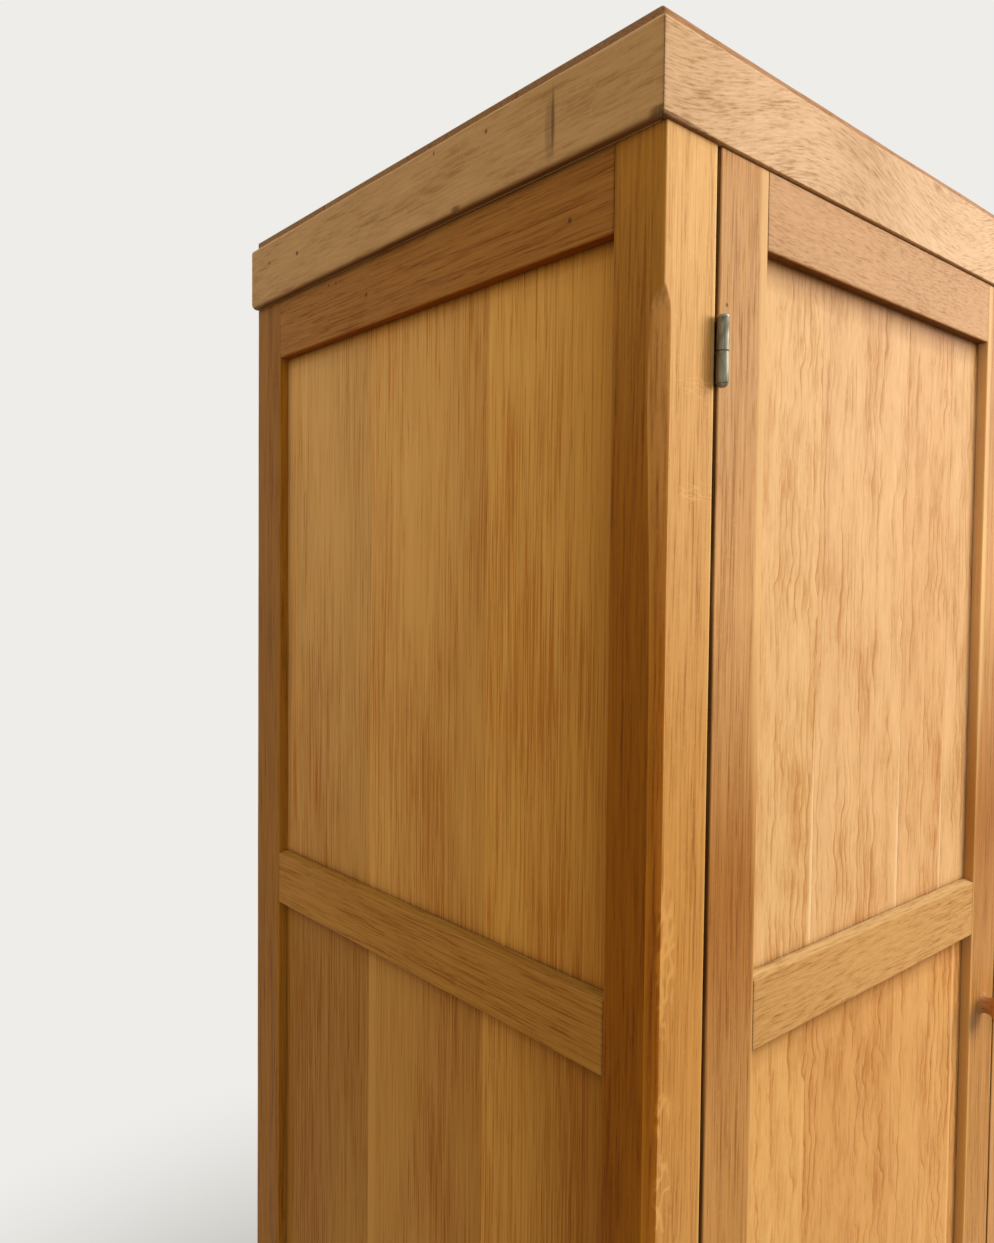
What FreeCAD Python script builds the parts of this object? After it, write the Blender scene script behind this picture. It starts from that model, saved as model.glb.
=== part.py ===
import FreeCAD, Part
import math
import os

V = FreeCAD.Vector

# Linen press in oak: a frame-and-panel case on corner posts, two panelled doors
# over two long drawers. Millimetres, +Z up, front towards -Y, left door at -X.
# The origin is on the floor, at the middle of the outline seen from above.

# case
case_width = 1070.0           # over the posts
case_depth = 560.0            # over the posts
case_height = 1760.0          # floor to the underside of the cornice
leg_height = 105.0            # floor to the underside of the bottom rails

# posts
post_width = 53.0             # along X
front_post_depth = 44.0       # along Y
back_post_depth = 49.0        # along Y
corner_chamfer = 7.5          # leg of the stopped chamfer on each front post
chamfer_top_drop = 102.0      # from the cornice down to the upper stop
chamfer_bottom_rise = 200.0   # from the floor up to the lower stop
chamfer_stop = 18.0           # length of each scooped stop

# side frames, and the heights that the doors share
side_rail_thickness = 26.0
side_top_rail_height = 59.0
side_rail_height = 55.0       # middle and waist rails
bottom_rail_height = 60.0
side_panel_recess = 9.5       # from the frame's face to the panel's face
side_panel_thickness = 9.0
panel_tongue = 8.0            # how far a panel's edge enters its groove
panel_room = 1.0              # free room past the panel's edge in the groove
upper_bevel = 4.5             # bevel on the upper edge of a rail below a panel
lower_bevel = 3.0             # bevel on the lower edge of a rail above a panel

# tenons
side_tenon_length = 24.0
side_tenon_thickness = 9.0
door_tenon_length = 30.0
door_tenon_thickness = 7.0
grooved_shoulder = 10.0       # from a grooved rail's edge to its tenon
plain_shoulder = 5.0          # from a plain rail's edge to its tenon

# front rails
front_waist_height = 35.0
drawer_rail_height = 25.0
drawer_opening = 166.0        # height of the opening for each drawer
stop_rail_height = 45.0       # the rail that the doors close against
stop_gap = 1.0                # from a closed door to what stops it

# cornice and top
cornice_height = 62.0
cornice_thickness = 22.0
cornice_front_proud = 3.8     # past the posts' front
cornice_side_proud = 8.0      # past the posts' sides
cornice_lower_round = 4.0
cornice_upper_round = 4.0
cornice_lip = 7.5             # from the cornice's face to the top board's edge
top_board_let_in = 10.0       # depth of the rebate that holds the top board
top_board_stand = 10.0        # how far the top board stands above the cornice
top_board_round = 3.0

# back
back_board_count = 8
back_board_thickness = 12.0
back_board_joint = 2.0        # bevel on each board's edge
back_rebate = 10.0            # width of the rebate in a back post
back_rail_thickness = 20.0

# inside
floor_thickness = 18.0
shelf_thickness = 18.0
shelf_count = 2
shelf_setback = 2.0           # from the front posts' back to the shelf's edge
bearer_width = 24.0
bearer_height = 30.0

# doors
door_gap = 3.0                # beside and between the doors
door_end_gap = 1.2            # above and below the doors
door_thickness = 22.0
door_stile_width = 55.0
door_top_rail_height = 54.0
door_panel_recess = 8.7
door_panel_thickness = 8.0
face_stand = 1.0              # doors and drawers stand proud of the posts

# lift-off hinges
hinge_length = 43.0
hinge_drop = 137.0            # from the cornice down to the upper hinge's middle
hinge_rise = 138.0            # from the door's foot up to the lower hinge's middle
hinge_axis_stand = 5.5        # from the posts' front to the hinge's axis
barrel_radius = 4.25
barrel_gap = 0.3              # between the two barrels
leaf_thickness = 1.4
leaf_depth = 19.0             # how far a leaf reaches back along the gap
leaf_set_in = 0.5             # from the posts' front to a leaf's front edge
pin_radius = 2.0
pin_running_clearance = 0.05
pin_press_clearance = 0.02
pin_top_room = 4.0            # from the pin's end to the top of its barrel
finial_radius = 2.0
finial_length = 2.5
screw_spread = 14.0           # from the hinge's middle to each screw
screw_set = 11.0              # from the posts' front to the screws
screw_head_radius = 2.9
screw_radius = 1.5
screw_shank = 12.0
screw_point = 3.0
screw_clearance = 0.05

# knobs
knob_reach = 28.0
knob_radius = 16.0
knob_base_radius = 11.0
knob_neck_radius = 8.0
knob_neck_place = 6.0         # from the face out to the neck's narrowest ring
knob_shoulder_radius = 9.5
knob_shoulder_place = 12.0    # from the face out to where the head begins
knob_rim_place = 19.0         # from the face out to the head's widest ring
knob_face_radius = 10.0
knob_face_drop = 1.5          # from the crown back to the face's rim
spigot_radius = 6.0
spigot_length = 15.0
spigot_clearance = 0.1
door_knob_drop = 75.0         # from the middle rail down to the door knobs

# turn catch on the right door
spindle_radius = 4.0
spindle_clearance = 0.3
spindle_tip_radius = 3.0
tongue_length = 52.0
tongue_width = 14.0
tongue_thickness = 3.0
tongue_clearance = 0.5        # from the doors' backs to the tongue
tongue_fit = 0.02

# bolt on the back of the left door
bolt_radius = 4.0
bolt_clearance = 0.2
bolt_length = 64.0
bolt_top_drop = 10.0          # from the stop rail down to the drawn bolt's end
bolt_travel = 22.0
bolt_stand = 9.0              # from the door's back to the bolt's axis
bolt_plate_thickness = 2.5
bolt_plate_width = 22.0
bolt_plate_length = 56.0
bolt_plate_drop = 18.0        # from the stop rail down to the plate's end
bolt_guide_length = 10.0
bolt_guide_width = 14.0
bolt_guide_wall = 3.0
bolt_hole_room = 3.0          # hole depth past the shot bolt's end
bolt_peg_radius = 2.5
bolt_peg_length = 12.0

# drawers
drawer_gap = 2.0              # around a drawer front
drawer_front_thickness = 20.0
drawer_side_thickness = 12.0
drawer_top_room = 16.0        # from the sides' top edge to the opening's top
drawer_back_room = 40.0       # from a drawer's end to the back rails
drawer_back_drop = 6.0        # from the sides' top edge to the back's
drawer_bottom_thickness = 6.0
drawer_bottom_rise = 10.0     # from the sides' foot to the bottom board
drawer_groove = 5.0
drawer_running_gap = 0.3      # between a drawer's foot and its runners
drawer_knob_spacing = 540.0   # between the middles of a drawer's knobs
runner_height = 22.0
runner_width = 54.0
guide_height = 30.0

# places worked out from the sizes above
half_width = case_width / 2
front = (face_stand + knob_reach - case_depth) / 2
back = front + case_depth
inner_half = half_width - post_width
front_post_back = front + front_post_depth
back_post_front = back - back_post_depth
rail_inner = half_width - side_rail_thickness

bottom_rail_top = leg_height + bottom_rail_height
drawer_floors = {"lower": bottom_rail_top,
                 "upper": bottom_rail_top + drawer_opening + drawer_rail_height}
drawer_zone_top = drawer_floors["upper"] + drawer_opening
waist_rail_bottom = drawer_zone_top + front_waist_height
waist_rail_top = waist_rail_bottom + side_rail_height
top_rail_bottom = case_height - side_top_rail_height
mid_rail_bottom = (waist_rail_top + top_rail_bottom - side_rail_height) / 2
mid_rail_top = mid_rail_bottom + side_rail_height

door_face = front - face_stand
door_back = door_face + door_thickness
door_bottom = waist_rail_bottom + door_end_gap
door_top = case_height - door_end_gap
stop_rail_bottom = case_height - stop_rail_height
stop_face = door_back + stop_gap
meeting_edge = door_gap / 2
hinge_edge = inner_half - door_gap
hinge_heights = [case_height - hinge_drop, door_bottom + hinge_rise]
hinge_axis = inner_half - door_gap / 2
hinge_y = front - hinge_axis_stand
knob_x = meeting_edge + door_stile_width / 2
door_knob_height = mid_rail_bottom - door_knob_drop

back_board_face = back - back_board_thickness
back_rail_face = back_board_face - back_rail_thickness
cornice_half = half_width + cornice_side_proud
cornice_front_face = front - cornice_front_proud
cornice_top = case_height + cornice_height
floor_top = waist_rail_bottom + floor_thickness

left, right = -1, 1
side_names = {left: "left", right: "right"}


def block(x, y, z):
    low = V(min(x), min(y), min(z))
    return Part.makeBox(abs(x[1] - x[0]), abs(y[1] - y[0]), abs(z[1] - z[0]), low)


def across(side, a, b):
    """A span along X between two distances from the middle, on one side."""
    return (side * a, side * b)


def joined(first, *others):
    shape = first
    for other in others:
        shape = shape.fuse(other)
    return shape.removeSplitter()


def cut_by(shape, *tools):
    for tool in tools:
        shape = shape.cut(tool)
    return shape


def save(node, *solids):
    bodies = []
    for solid in solids:
        if len(solid.Solids) != 1 or not solid.isValid():
            raise RuntimeError(node + ": a piece is not one sound solid")
        bodies.append(solid.Solids[0])
    shape = bodies[0] if len(bodies) == 1 else Part.makeCompound(bodies)
    shape.exportStep("parts/" + node + ".step")
    print(node, len(bodies), round(shape.Volume / 1000.0, 1), "cm3")


def prism(points, direction):
    return Part.Face(Part.makePolygon(points + points[:1])).extrude(direction)


# Rails with a tenon at each end

def rail_along_x(x, y, z, tenon_length, tenon_thickness, shoulder):
    middle = (y[0] + y[1]) / 2
    tenon = block((x[0] - tenon_length, x[1] + tenon_length),
                  (middle - tenon_thickness / 2, middle + tenon_thickness / 2),
                  (z[0] + shoulder, z[1] - shoulder))
    return joined(block(x, y, z), tenon)


def rail_along_y(x, y, z, tenon_length, tenon_thickness, shoulder):
    middle = (x[0] + x[1]) / 2
    tenon = block((middle - tenon_thickness / 2, middle + tenon_thickness / 2),
                  (y[0] - tenon_length, y[1] + tenon_length),
                  (z[0] + shoulder, z[1] - shoulder))
    return joined(block(x, y, z), tenon)


def bevel_along_x(x, y_face, z_edge, size, up):
    """A wedge for the edge where a front face meets a rail's top (up = 1) or foot (up = -1)."""
    points = [V(x[0], y_face, z_edge), V(x[0], y_face + size, z_edge),
              V(x[0], y_face, z_edge - up * size)]
    return prism(points, V(x[1] - x[0], 0, 0))


def bevel_along_y(side, x_face, y, z_edge, size, up):
    points = [V(side * x_face, y[0], z_edge), V(side * (x_face - size), y[0], z_edge),
              V(side * x_face, y[0], z_edge - up * size)]
    return prism(points, V(0, y[1] - y[0], 0))


# Side frames

side_bays = {"upper": (mid_rail_top, top_rail_bottom),
             "middle": (waist_rail_top, mid_rail_bottom),
             "lower": (bottom_rail_top, waist_rail_bottom)}
side_rail_spans = [(top_rail_bottom, case_height), (mid_rail_bottom, mid_rail_top),
                   (waist_rail_bottom, waist_rail_top), (leg_height, bottom_rail_top)]


def side_panel(side, bay, reach):
    low, high = side_bays[bay]
    outer = half_width - side_panel_recess
    return block(across(side, outer, outer - side_panel_thickness),
                 (front_post_back - reach, back_post_front + reach),
                 (low - reach, high + reach))


def make_side_rails(side):
    y = (front_post_back, back_post_front)
    slots = [side_panel(side, bay, panel_tongue + panel_room) for bay in side_bays]
    rails = []
    for low, high in side_rail_spans:
        rail = rail_along_y(across(side, rail_inner, half_width), y, (low, high),
                            side_tenon_length, side_tenon_thickness, grooved_shoulder)
        if high < case_height:
            rail = rail.cut(bevel_along_y(side, half_width, y, high, upper_bevel, 1))
        if low > leg_height:
            rail = rail.cut(bevel_along_y(side, half_width, y, low, lower_bevel, -1))
        rails.append(cut_by(rail, *slots))
    return rails


# Front and back rails

inner_span = (-inner_half, inner_half)


def make_front_rail(y, z):
    thickness = (y[1] - y[0]) / 2
    return rail_along_x(inner_span, y, z, side_tenon_length, thickness, plain_shoulder)


front_y = (front, front_post_back)
front_rails = {
    "front_stop_rail": make_front_rail((stop_face, front_post_back), (stop_rail_bottom, case_height)),
    "front_waist_rail": make_front_rail(front_y, (drawer_zone_top, waist_rail_bottom)),
    "front_drawer_rail": make_front_rail(
        front_y, (drawer_floors["upper"] - drawer_rail_height, drawer_floors["upper"])),
    "front_bottom_rail": make_front_rail(front_y, (leg_height, bottom_rail_top)),
}

back_rails = []
for low, high in [(top_rail_bottom, case_height), (mid_rail_bottom, mid_rail_top),
                  (waist_rail_bottom - side_rail_height, waist_rail_bottom),
                  (leg_height, bottom_rail_top)]:
    back_rails.append(make_front_rail((back_rail_face, back_board_face), (low, high)))
cornice_back_rail = block((cornice_thickness - cornice_half, cornice_half - cornice_thickness),
                          (back - cornice_thickness, back),
                          (case_height, cornice_top - top_board_let_in))


# Posts

def chamfer_cutter(side):
    """The stopped chamfer: a straight cut that runs out in a scooped arc at each end."""
    depth = corner_chamfer / math.sqrt(2)
    scoop = (chamfer_stop ** 2 + depth ** 2) / (2 * depth)
    half_stop = depth - scoop + math.sqrt(scoop ** 2 - (chamfer_stop / 2) ** 2)
    outward = V(side, -1, 0).normalize()
    along = V(1, side, 0).normalize()
    corner = V(side * half_width, front, 0)
    top = case_height - chamfer_top_drop
    foot = chamfer_bottom_rise

    def at(inward, z):
        return corner - outward * inward + V(0, 0, z) - along * corner_chamfer

    edges = [
        Part.Arc(at(0, top), at(half_stop, top - chamfer_stop / 2), at(depth, top - chamfer_stop)).toShape(),
        Part.makeLine(at(depth, top - chamfer_stop), at(depth, foot + chamfer_stop)),
        Part.Arc(at(depth, foot + chamfer_stop), at(half_stop, foot + chamfer_stop / 2), at(0, foot)).toShape(),
        Part.makeLine(at(0, foot), at(-depth, foot)),
        Part.makeLine(at(-depth, foot), at(-depth, top)),
        Part.makeLine(at(-depth, top), at(0, top)),
    ]
    return Part.Face(Part.Wire(edges)).extrude(along * (2 * corner_chamfer))


def make_posts(side, side_rails, case_screws):
    x = across(side, inner_half, half_width)
    slots = [side_panel(side, bay, panel_tongue + panel_room) for bay in side_bays]
    front_post = block(x, front_y, (0, case_height)).cut(chamfer_cutter(side))
    front_post = cut_by(front_post, *side_rails, *front_rails.values(), *slots, *case_screws)
    back_post = block(x, (back_post_front, back), (0, case_height))
    rebate = block(across(side, inner_half, inner_half + back_rebate),
                   (back_board_face, back), (leg_height, case_height))
    back_post = cut_by(back_post, rebate, *side_rails, *back_rails, *slots)
    return front_post, back_post


# Back boards, side by side with bevelled joints

def make_back_boards():
    reach = inner_half + back_rebate
    width = 2 * reach / back_board_count
    boards = []
    for n in range(back_board_count):
        x0 = n * width - reach
        x1 = x0 + width
        points = [V(x0, back_board_face, leg_height), V(x1, back_board_face, leg_height),
                  V(x1, back - back_board_joint, leg_height), V(x1 - back_board_joint, back, leg_height),
                  V(x0 + back_board_joint, back, leg_height), V(x0, back - back_board_joint, leg_height)]
        boards.append(prism(points, V(0, 0, case_height - leg_height)))
    return boards


# Cornice: a plain band with rounded edges, mitred at the front corners

def cornice_profile(place):
    """The band's section; place turns (inward, up) into a point."""
    low, high = cornice_lower_round, cornice_upper_round
    rebate = cornice_height - top_board_let_in
    bend = 1 - math.sqrt(0.5)
    corners = [(low, 0), (cornice_thickness, 0), (cornice_thickness, rebate), (cornice_lip, rebate),
               (cornice_lip, cornice_height), (high, cornice_height)]
    points = [place(*corner) for corner in corners]
    edges = [Part.makeLine(a, b) for a, b in zip(points, points[1:])]
    edges.append(Part.Arc(points[-1], place(high * bend, cornice_height - high * bend),
                          place(0, cornice_height - high)).toShape())
    edges.append(Part.makeLine(place(0, cornice_height - high), place(0, low)))
    edges.append(Part.Arc(place(0, low), place(low * bend, low * bend), points[0]).toShape())
    return Part.Face(Part.Wire(edges))


def make_cornice_front():
    band = cornice_profile(lambda inward, up: V(-cornice_half, cornice_front_face + inward, case_height + up))
    band = band.extrude(V(2 * cornice_half, 0, 0))
    inner = cornice_half - cornice_thickness
    inner_face = cornice_front_face + cornice_thickness
    plan = [V(-cornice_half, cornice_front_face, case_height), V(cornice_half, cornice_front_face, case_height),
            V(inner, inner_face, case_height), V(-inner, inner_face, case_height)]
    return band.common(prism(plan, V(0, 0, cornice_height)))


def make_cornice_side(side):
    band = cornice_profile(
        lambda inward, up: V(side * (cornice_half - inward), cornice_front_face, case_height + up))
    band = band.extrude(V(0, back - cornice_front_face, 0))
    inner = side * (cornice_half - cornice_thickness)
    plan = [V(side * cornice_half, cornice_front_face, case_height),
            V(inner, cornice_front_face + cornice_thickness, case_height),
            V(inner, back, case_height), V(side * cornice_half, back, case_height)]
    return band.common(prism(plan, V(0, 0, cornice_height)))


def make_top_board():
    low = cornice_top - top_board_let_in
    high = cornice_top + top_board_stand
    edge = cornice_half - cornice_lip
    front_edge = cornice_front_face + cornice_lip
    board = block((-edge, edge), (front_edge, back), (low, high))
    middle = board.CenterOfMass
    rims = [e for e in board.Edges if e.BoundBox.ZMin > middle.z and e.BoundBox.YMin < middle.y]
    return board.makeFillet(top_board_round, rims)


# Knobs turned in oak, on a spigot

def knob_head(x, z):
    """A turned outline: hollow neck, full rim and a crown that is part of a sphere."""
    crown = (knob_face_radius ** 2 + knob_face_drop ** 2) / (2 * knob_face_drop)
    half_face = knob_face_radius / 2
    half_drop = crown - math.sqrt(crown ** 2 - half_face ** 2)

    def at(radius, out):
        return V(x + radius, door_face - out, z)

    edges = [
        Part.makeLine(at(0, 0), at(knob_base_radius, 0)),
        Part.Arc(at(knob_base_radius, 0), at(knob_neck_radius, knob_neck_place),
                 at(knob_shoulder_radius, knob_shoulder_place)).toShape(),
        Part.Arc(at(knob_shoulder_radius, knob_shoulder_place), at(knob_radius, knob_rim_place),
                 at(knob_face_radius, knob_reach - knob_face_drop)).toShape(),
        Part.Arc(at(knob_face_radius, knob_reach - knob_face_drop),
                 at(half_face, knob_reach - half_drop), at(0, knob_reach)).toShape(),
        Part.makeLine(at(0, knob_reach), at(0, 0)),
    ]
    return Part.Face(Part.Wire(edges)).revolve(V(x, door_face, z), V(0, 1, 0), 360)


def spigot(x, z, clearance=0.0):
    return Part.makeCylinder(spigot_radius + clearance, spigot_length + clearance,
                             V(x, door_face, z), V(0, 1, 0))


def make_knob(x, z):
    return joined(knob_head(x, z), spigot(x, z))


# Lift-off hinges

def barrel(side, low, high, radius):
    return Part.makeCylinder(radius, high - low, V(side * hinge_axis, hinge_y, low))


def screw(side, face, inward, z, clearance=0.0):
    """A countersunk screw that enters a face at X = side * face, along +X or -X."""
    way = V(side * inward, 0, 0)
    start = V(side * face, front + screw_set, z)
    shank_start = start + way * leaf_thickness
    point_start = shank_start + way * screw_shank
    return joined(
        Part.makeCone(screw_head_radius + clearance, screw_radius + clearance, leaf_thickness, start, way),
        Part.makeCylinder(screw_radius + clearance, screw_shank, shank_start, way),
        Part.makeCone(screw_radius + clearance, 0, screw_point, point_start, way))


def case_screws(side, clearance=0.0):
    face = inner_half - leaf_thickness
    return [screw(side, face, 1, z + step, clearance)
            for z in hinge_heights for step in (-screw_spread, screw_spread)]


def door_screws(side, clearance=0.0):
    face = hinge_edge + leaf_thickness
    return [screw(side, face, -1, z + step, clearance)
            for z in hinge_heights for step in (-screw_spread, screw_spread)]


def make_case_leaf(side, z):
    low, high = z - hinge_length / 2, z + hinge_length / 2
    split = z - barrel_gap / 2
    x = across(side, inner_half - leaf_thickness, inner_half)
    plate = block(x, (front + leaf_set_in, front + leaf_depth), (low, high))
    bridge = block(x, (hinge_y, front + leaf_set_in), (low, split))
    leaf = joined(plate, bridge, barrel(side, low, split, barrel_radius))
    bore = barrel(side, low, split, pin_radius + pin_press_clearance)
    return cut_by(leaf, bore, *case_screws(side, screw_clearance))


def make_door_leaf(side, z):
    low, high = z - hinge_length / 2, z + hinge_length / 2
    split = z + barrel_gap / 2
    x = across(side, hinge_edge, hinge_edge + leaf_thickness)
    plate = block(x, (front + leaf_set_in, front + leaf_depth), (low, high))
    bridge = block(x, (hinge_y, front + leaf_set_in), (split, high))
    tip = Part.makeCone(barrel_radius, finial_radius, finial_length, V(side * hinge_axis, hinge_y, high))
    leaf = joined(plate, bridge, barrel(side, split, high, barrel_radius), tip)
    bore = barrel(side, split, high - pin_top_room + barrel_gap, pin_radius + pin_running_clearance)
    return cut_by(leaf, bore, *door_screws(side, screw_clearance))


def make_pin(side, z):
    low, high = z - hinge_length / 2, z + hinge_length / 2
    tip = Part.makeCone(finial_radius, barrel_radius, finial_length,
                        V(side * hinge_axis, hinge_y, low - finial_length))
    return joined(tip, barrel(side, low, high - pin_top_room, pin_radius))


# Doors

door_rail_spans = {"top": (door_top - door_top_rail_height, door_top),
                   "mid": (mid_rail_bottom, mid_rail_top),
                   "bottom": (door_bottom, waist_rail_top)}
door_bays = {"upper": (mid_rail_top, door_top - door_top_rail_height),
             "lower": (waist_rail_top, mid_rail_bottom)}
door_y = (door_face, door_back)


def door_panel(side, bay, reach):
    low, high = door_bays[bay]
    face = door_face + door_panel_recess
    return block(across(side, meeting_edge + door_stile_width - reach,
                        hinge_edge - door_stile_width + reach),
                 (face, face + door_panel_thickness), (low - reach, high + reach))


def make_door(side, stile_holes):
    name = side_names[side] + "_door_"
    inner, outer = meeting_edge + door_stile_width, hinge_edge - door_stile_width
    x = tuple(sorted(across(side, inner, outer)))
    slots = [door_panel(side, bay, panel_tongue + panel_room) for bay in door_bays]
    rails = {}
    for key, (low, high) in door_rail_spans.items():
        rail = rail_along_x(x, door_y, (low, high), door_tenon_length, door_tenon_thickness, grooved_shoulder)
        if key != "top":
            rail = rail.cut(bevel_along_x(x, door_face, high, upper_bevel, 1))
        if key != "bottom":
            rail = rail.cut(bevel_along_x(x, door_face, low, lower_bevel, -1))
        rails[key] = cut_by(rail, *slots)
        save(name + key + "_rail", rails[key])
    z = (door_bottom, door_top)
    meeting = block(across(side, meeting_edge, inner), door_y, z)
    hinged = block(across(side, outer, hinge_edge), door_y, z)
    save(name + "meeting_stile", cut_by(meeting, *rails.values(), *slots, *stile_holes))
    save(name + "hinge_stile", cut_by(hinged, *rails.values(), *slots, *door_screws(side, screw_clearance)))
    for bay in door_bays:
        save(name + bay + "_panel", door_panel(side, bay, panel_tongue))
    save(name + "hinge_leaves", *[make_door_leaf(side, height) for height in hinge_heights])
    save(name + "hinge_screws", *door_screws(side))


# Turn catch: a knob on a spindle through the right meeting stile, with a tongue behind

def spindle(radius, y0, y1):
    return Part.makeCylinder(radius, y1 - y0, V(knob_x, y0, door_knob_height), V(0, 1, 0))


tongue_face = door_back + tongue_clearance
tongue_back = tongue_face + tongue_thickness


def make_turn_knob():
    return joined(knob_head(knob_x, door_knob_height), spindle(spindle_radius, door_face, tongue_face),
                  spindle(spindle_tip_radius, tongue_face, tongue_back))


def make_turn_tongue():
    half = tongue_width / 2
    plate = block((knob_x - half, knob_x + half), (tongue_face, tongue_back),
                  (door_knob_height + half - tongue_length, door_knob_height + half))
    return plate.cut(spindle(spindle_tip_radius + tongue_fit, tongue_face, tongue_back))


# Bolt that slides up from the left door into the stop rail

bolt_x = -knob_x
bolt_y = door_back + bolt_stand
bolt_top = stop_rail_bottom - bolt_top_drop
bolt_plate_top = stop_rail_bottom - bolt_plate_drop


def bolt_rod(radius, low, high):
    return Part.makeCylinder(radius, high - low, V(bolt_x, bolt_y, low))


def make_bolt_plate():
    low = bolt_plate_top - bolt_plate_length
    plate = block((bolt_x - bolt_plate_width / 2, bolt_x + bolt_plate_width / 2),
                  (door_back, door_back + bolt_plate_thickness), (low, bolt_plate_top))
    x = (bolt_x - bolt_guide_width / 2, bolt_x + bolt_guide_width / 2)
    y = (door_back, bolt_y + bolt_radius + bolt_guide_wall)
    guides = [block(x, y, (low, low + bolt_guide_length)),
              block(x, y, (bolt_plate_top - bolt_guide_length, bolt_plate_top))]
    return joined(plate, *guides).cut(bolt_rod(bolt_radius + bolt_clearance, low, bolt_plate_top))


def make_bolt():
    low = bolt_plate_top - bolt_plate_length + bolt_guide_length
    peg = Part.makeCylinder(bolt_peg_radius, bolt_peg_length + bolt_radius,
                            V(bolt_x, bolt_y, low + bolt_peg_radius + bolt_clearance), V(0, 1, 0))
    return joined(bolt_rod(bolt_radius, bolt_top - bolt_length, bolt_top), peg)


bolt_hole = bolt_rod(bolt_radius + bolt_clearance, stop_rail_bottom, bolt_top + bolt_travel + bolt_hole_room)


# Drawers

drawer_half = inner_half - drawer_gap
drawer_back_end = back_rail_face - drawer_back_room
drawer_front_back = door_face + drawer_front_thickness


def make_drawer(level):
    name = level + "_drawer_"
    floor = drawer_floors[level]
    foot = floor + drawer_running_gap
    bottom_low = foot + drawer_bottom_rise
    bottom_high = bottom_low + drawer_bottom_thickness
    inner = drawer_half - drawer_side_thickness
    bottom = block((-inner - drawer_groove, inner + drawer_groove),
                   (drawer_front_back - drawer_groove, drawer_back_end), (bottom_low, bottom_high))
    z = (floor + drawer_gap, floor + drawer_opening - drawer_gap)
    face = block((-drawer_half, drawer_half), (door_face, drawer_front_back), z)
    places = [(side * drawer_knob_spacing / 2, (z[0] + z[1]) / 2) for side in (left, right)]
    holes = [spigot(*place, spigot_clearance) for place in places]
    side_top = floor + drawer_opening - drawer_top_room
    sides = [block(across(side, inner, drawer_half), (drawer_front_back, drawer_back_end),
                   (foot, side_top)).cut(bottom) for side in (left, right)]
    back_piece = block((-inner, inner), (drawer_back_end - drawer_side_thickness, drawer_back_end),
                       (bottom_high, side_top - drawer_back_drop))
    save(name + "front", cut_by(face, bottom, *holes))
    save(name + "box", *sides, back_piece)
    save(name + "bottom", bottom)
    save(name + "knobs", *[make_knob(*place) for place in places])


def make_runner(side, floor):
    y = (front_post_back, back_post_front)
    foot = block(across(side, rail_inner - runner_width, rail_inner), y, (floor - runner_height, floor))
    guide = block(across(side, inner_half, rail_inner), y, (floor, floor + guide_height))
    return joined(foot, guide)


# Inside: floor, shelves and bearers

shelf_clear = (stop_rail_bottom - floor_top - shelf_count * shelf_thickness) / (shelf_count + 1)
shelf_heights = [floor_top + (n + 1) * shelf_clear + n * shelf_thickness for n in range(shelf_count)]


def make_shelf(height, posts):
    shelf = block((-rail_inner, rail_inner), (front_post_back + shelf_setback, back_rail_face),
                  (height, height + shelf_thickness))
    return cut_by(shelf, *posts)


def make_bearer(side, height):
    return block(across(side, rail_inner - bearer_width, rail_inner), (front_post_back, back_post_front),
                 (height - bearer_height, height))


os.makedirs("parts", exist_ok=True)

posts = []
for side, name in side_names.items():
    rails = make_side_rails(side)
    front_post, back_post = make_posts(side, rails, case_screws(side, screw_clearance))
    posts += [front_post, back_post]
    save(name + "_front_post", front_post)
    save(name + "_back_post", back_post)
    save(name + "_side_rails", *rails)
    for bay in side_bays:
        save(name + "_" + bay + "_side_panel", side_panel(side, bay, panel_tongue))

front_rails["front_stop_rail"] = front_rails["front_stop_rail"].cut(bolt_hole)
for node, rail in front_rails.items():
    save(node, rail)
save("back_rails", *back_rails, cornice_back_rail)
save("back_boards", *make_back_boards())

save("cornice_front", make_cornice_front())
save("cornice_left", make_cornice_side(left))
save("cornice_right", make_cornice_side(right))
save("top_board", make_top_board())

cupboard_floor = block((-rail_inner, rail_inner), (stop_face, back_board_face), (waist_rail_bottom, floor_top))
save("cupboard_floor", cut_by(cupboard_floor, *posts))
save("shelves", *[make_shelf(height, posts) for height in shelf_heights])
save("shelf_bearers", *[make_bearer(side, height) for side in side_names for height in shelf_heights])
save("drawer_runners", *[make_runner(side, floor) for side in side_names for floor in drawer_floors.values()])

hinge_places = [(side, height) for side in side_names for height in hinge_heights]
save("case_hinge_leaves", *[make_case_leaf(*place) for place in hinge_places])
save("hinge_pins", *[make_pin(*place) for place in hinge_places])
save("case_hinge_screws", *[piece for side in side_names for piece in case_screws(side)])

make_door(left, [spigot(-knob_x, door_knob_height, spigot_clearance)])
save("left_door_knob", make_knob(-knob_x, door_knob_height))
save("left_bolt_plate", make_bolt_plate())
save("left_bolt", make_bolt())
make_door(right, [spindle(spindle_radius + spindle_clearance, door_face, door_back)])
save("turn_knob", make_turn_knob())
save("turn_tongue", make_turn_tongue())

for level in drawer_floors:
    make_drawer(level)
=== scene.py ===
import math

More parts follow.
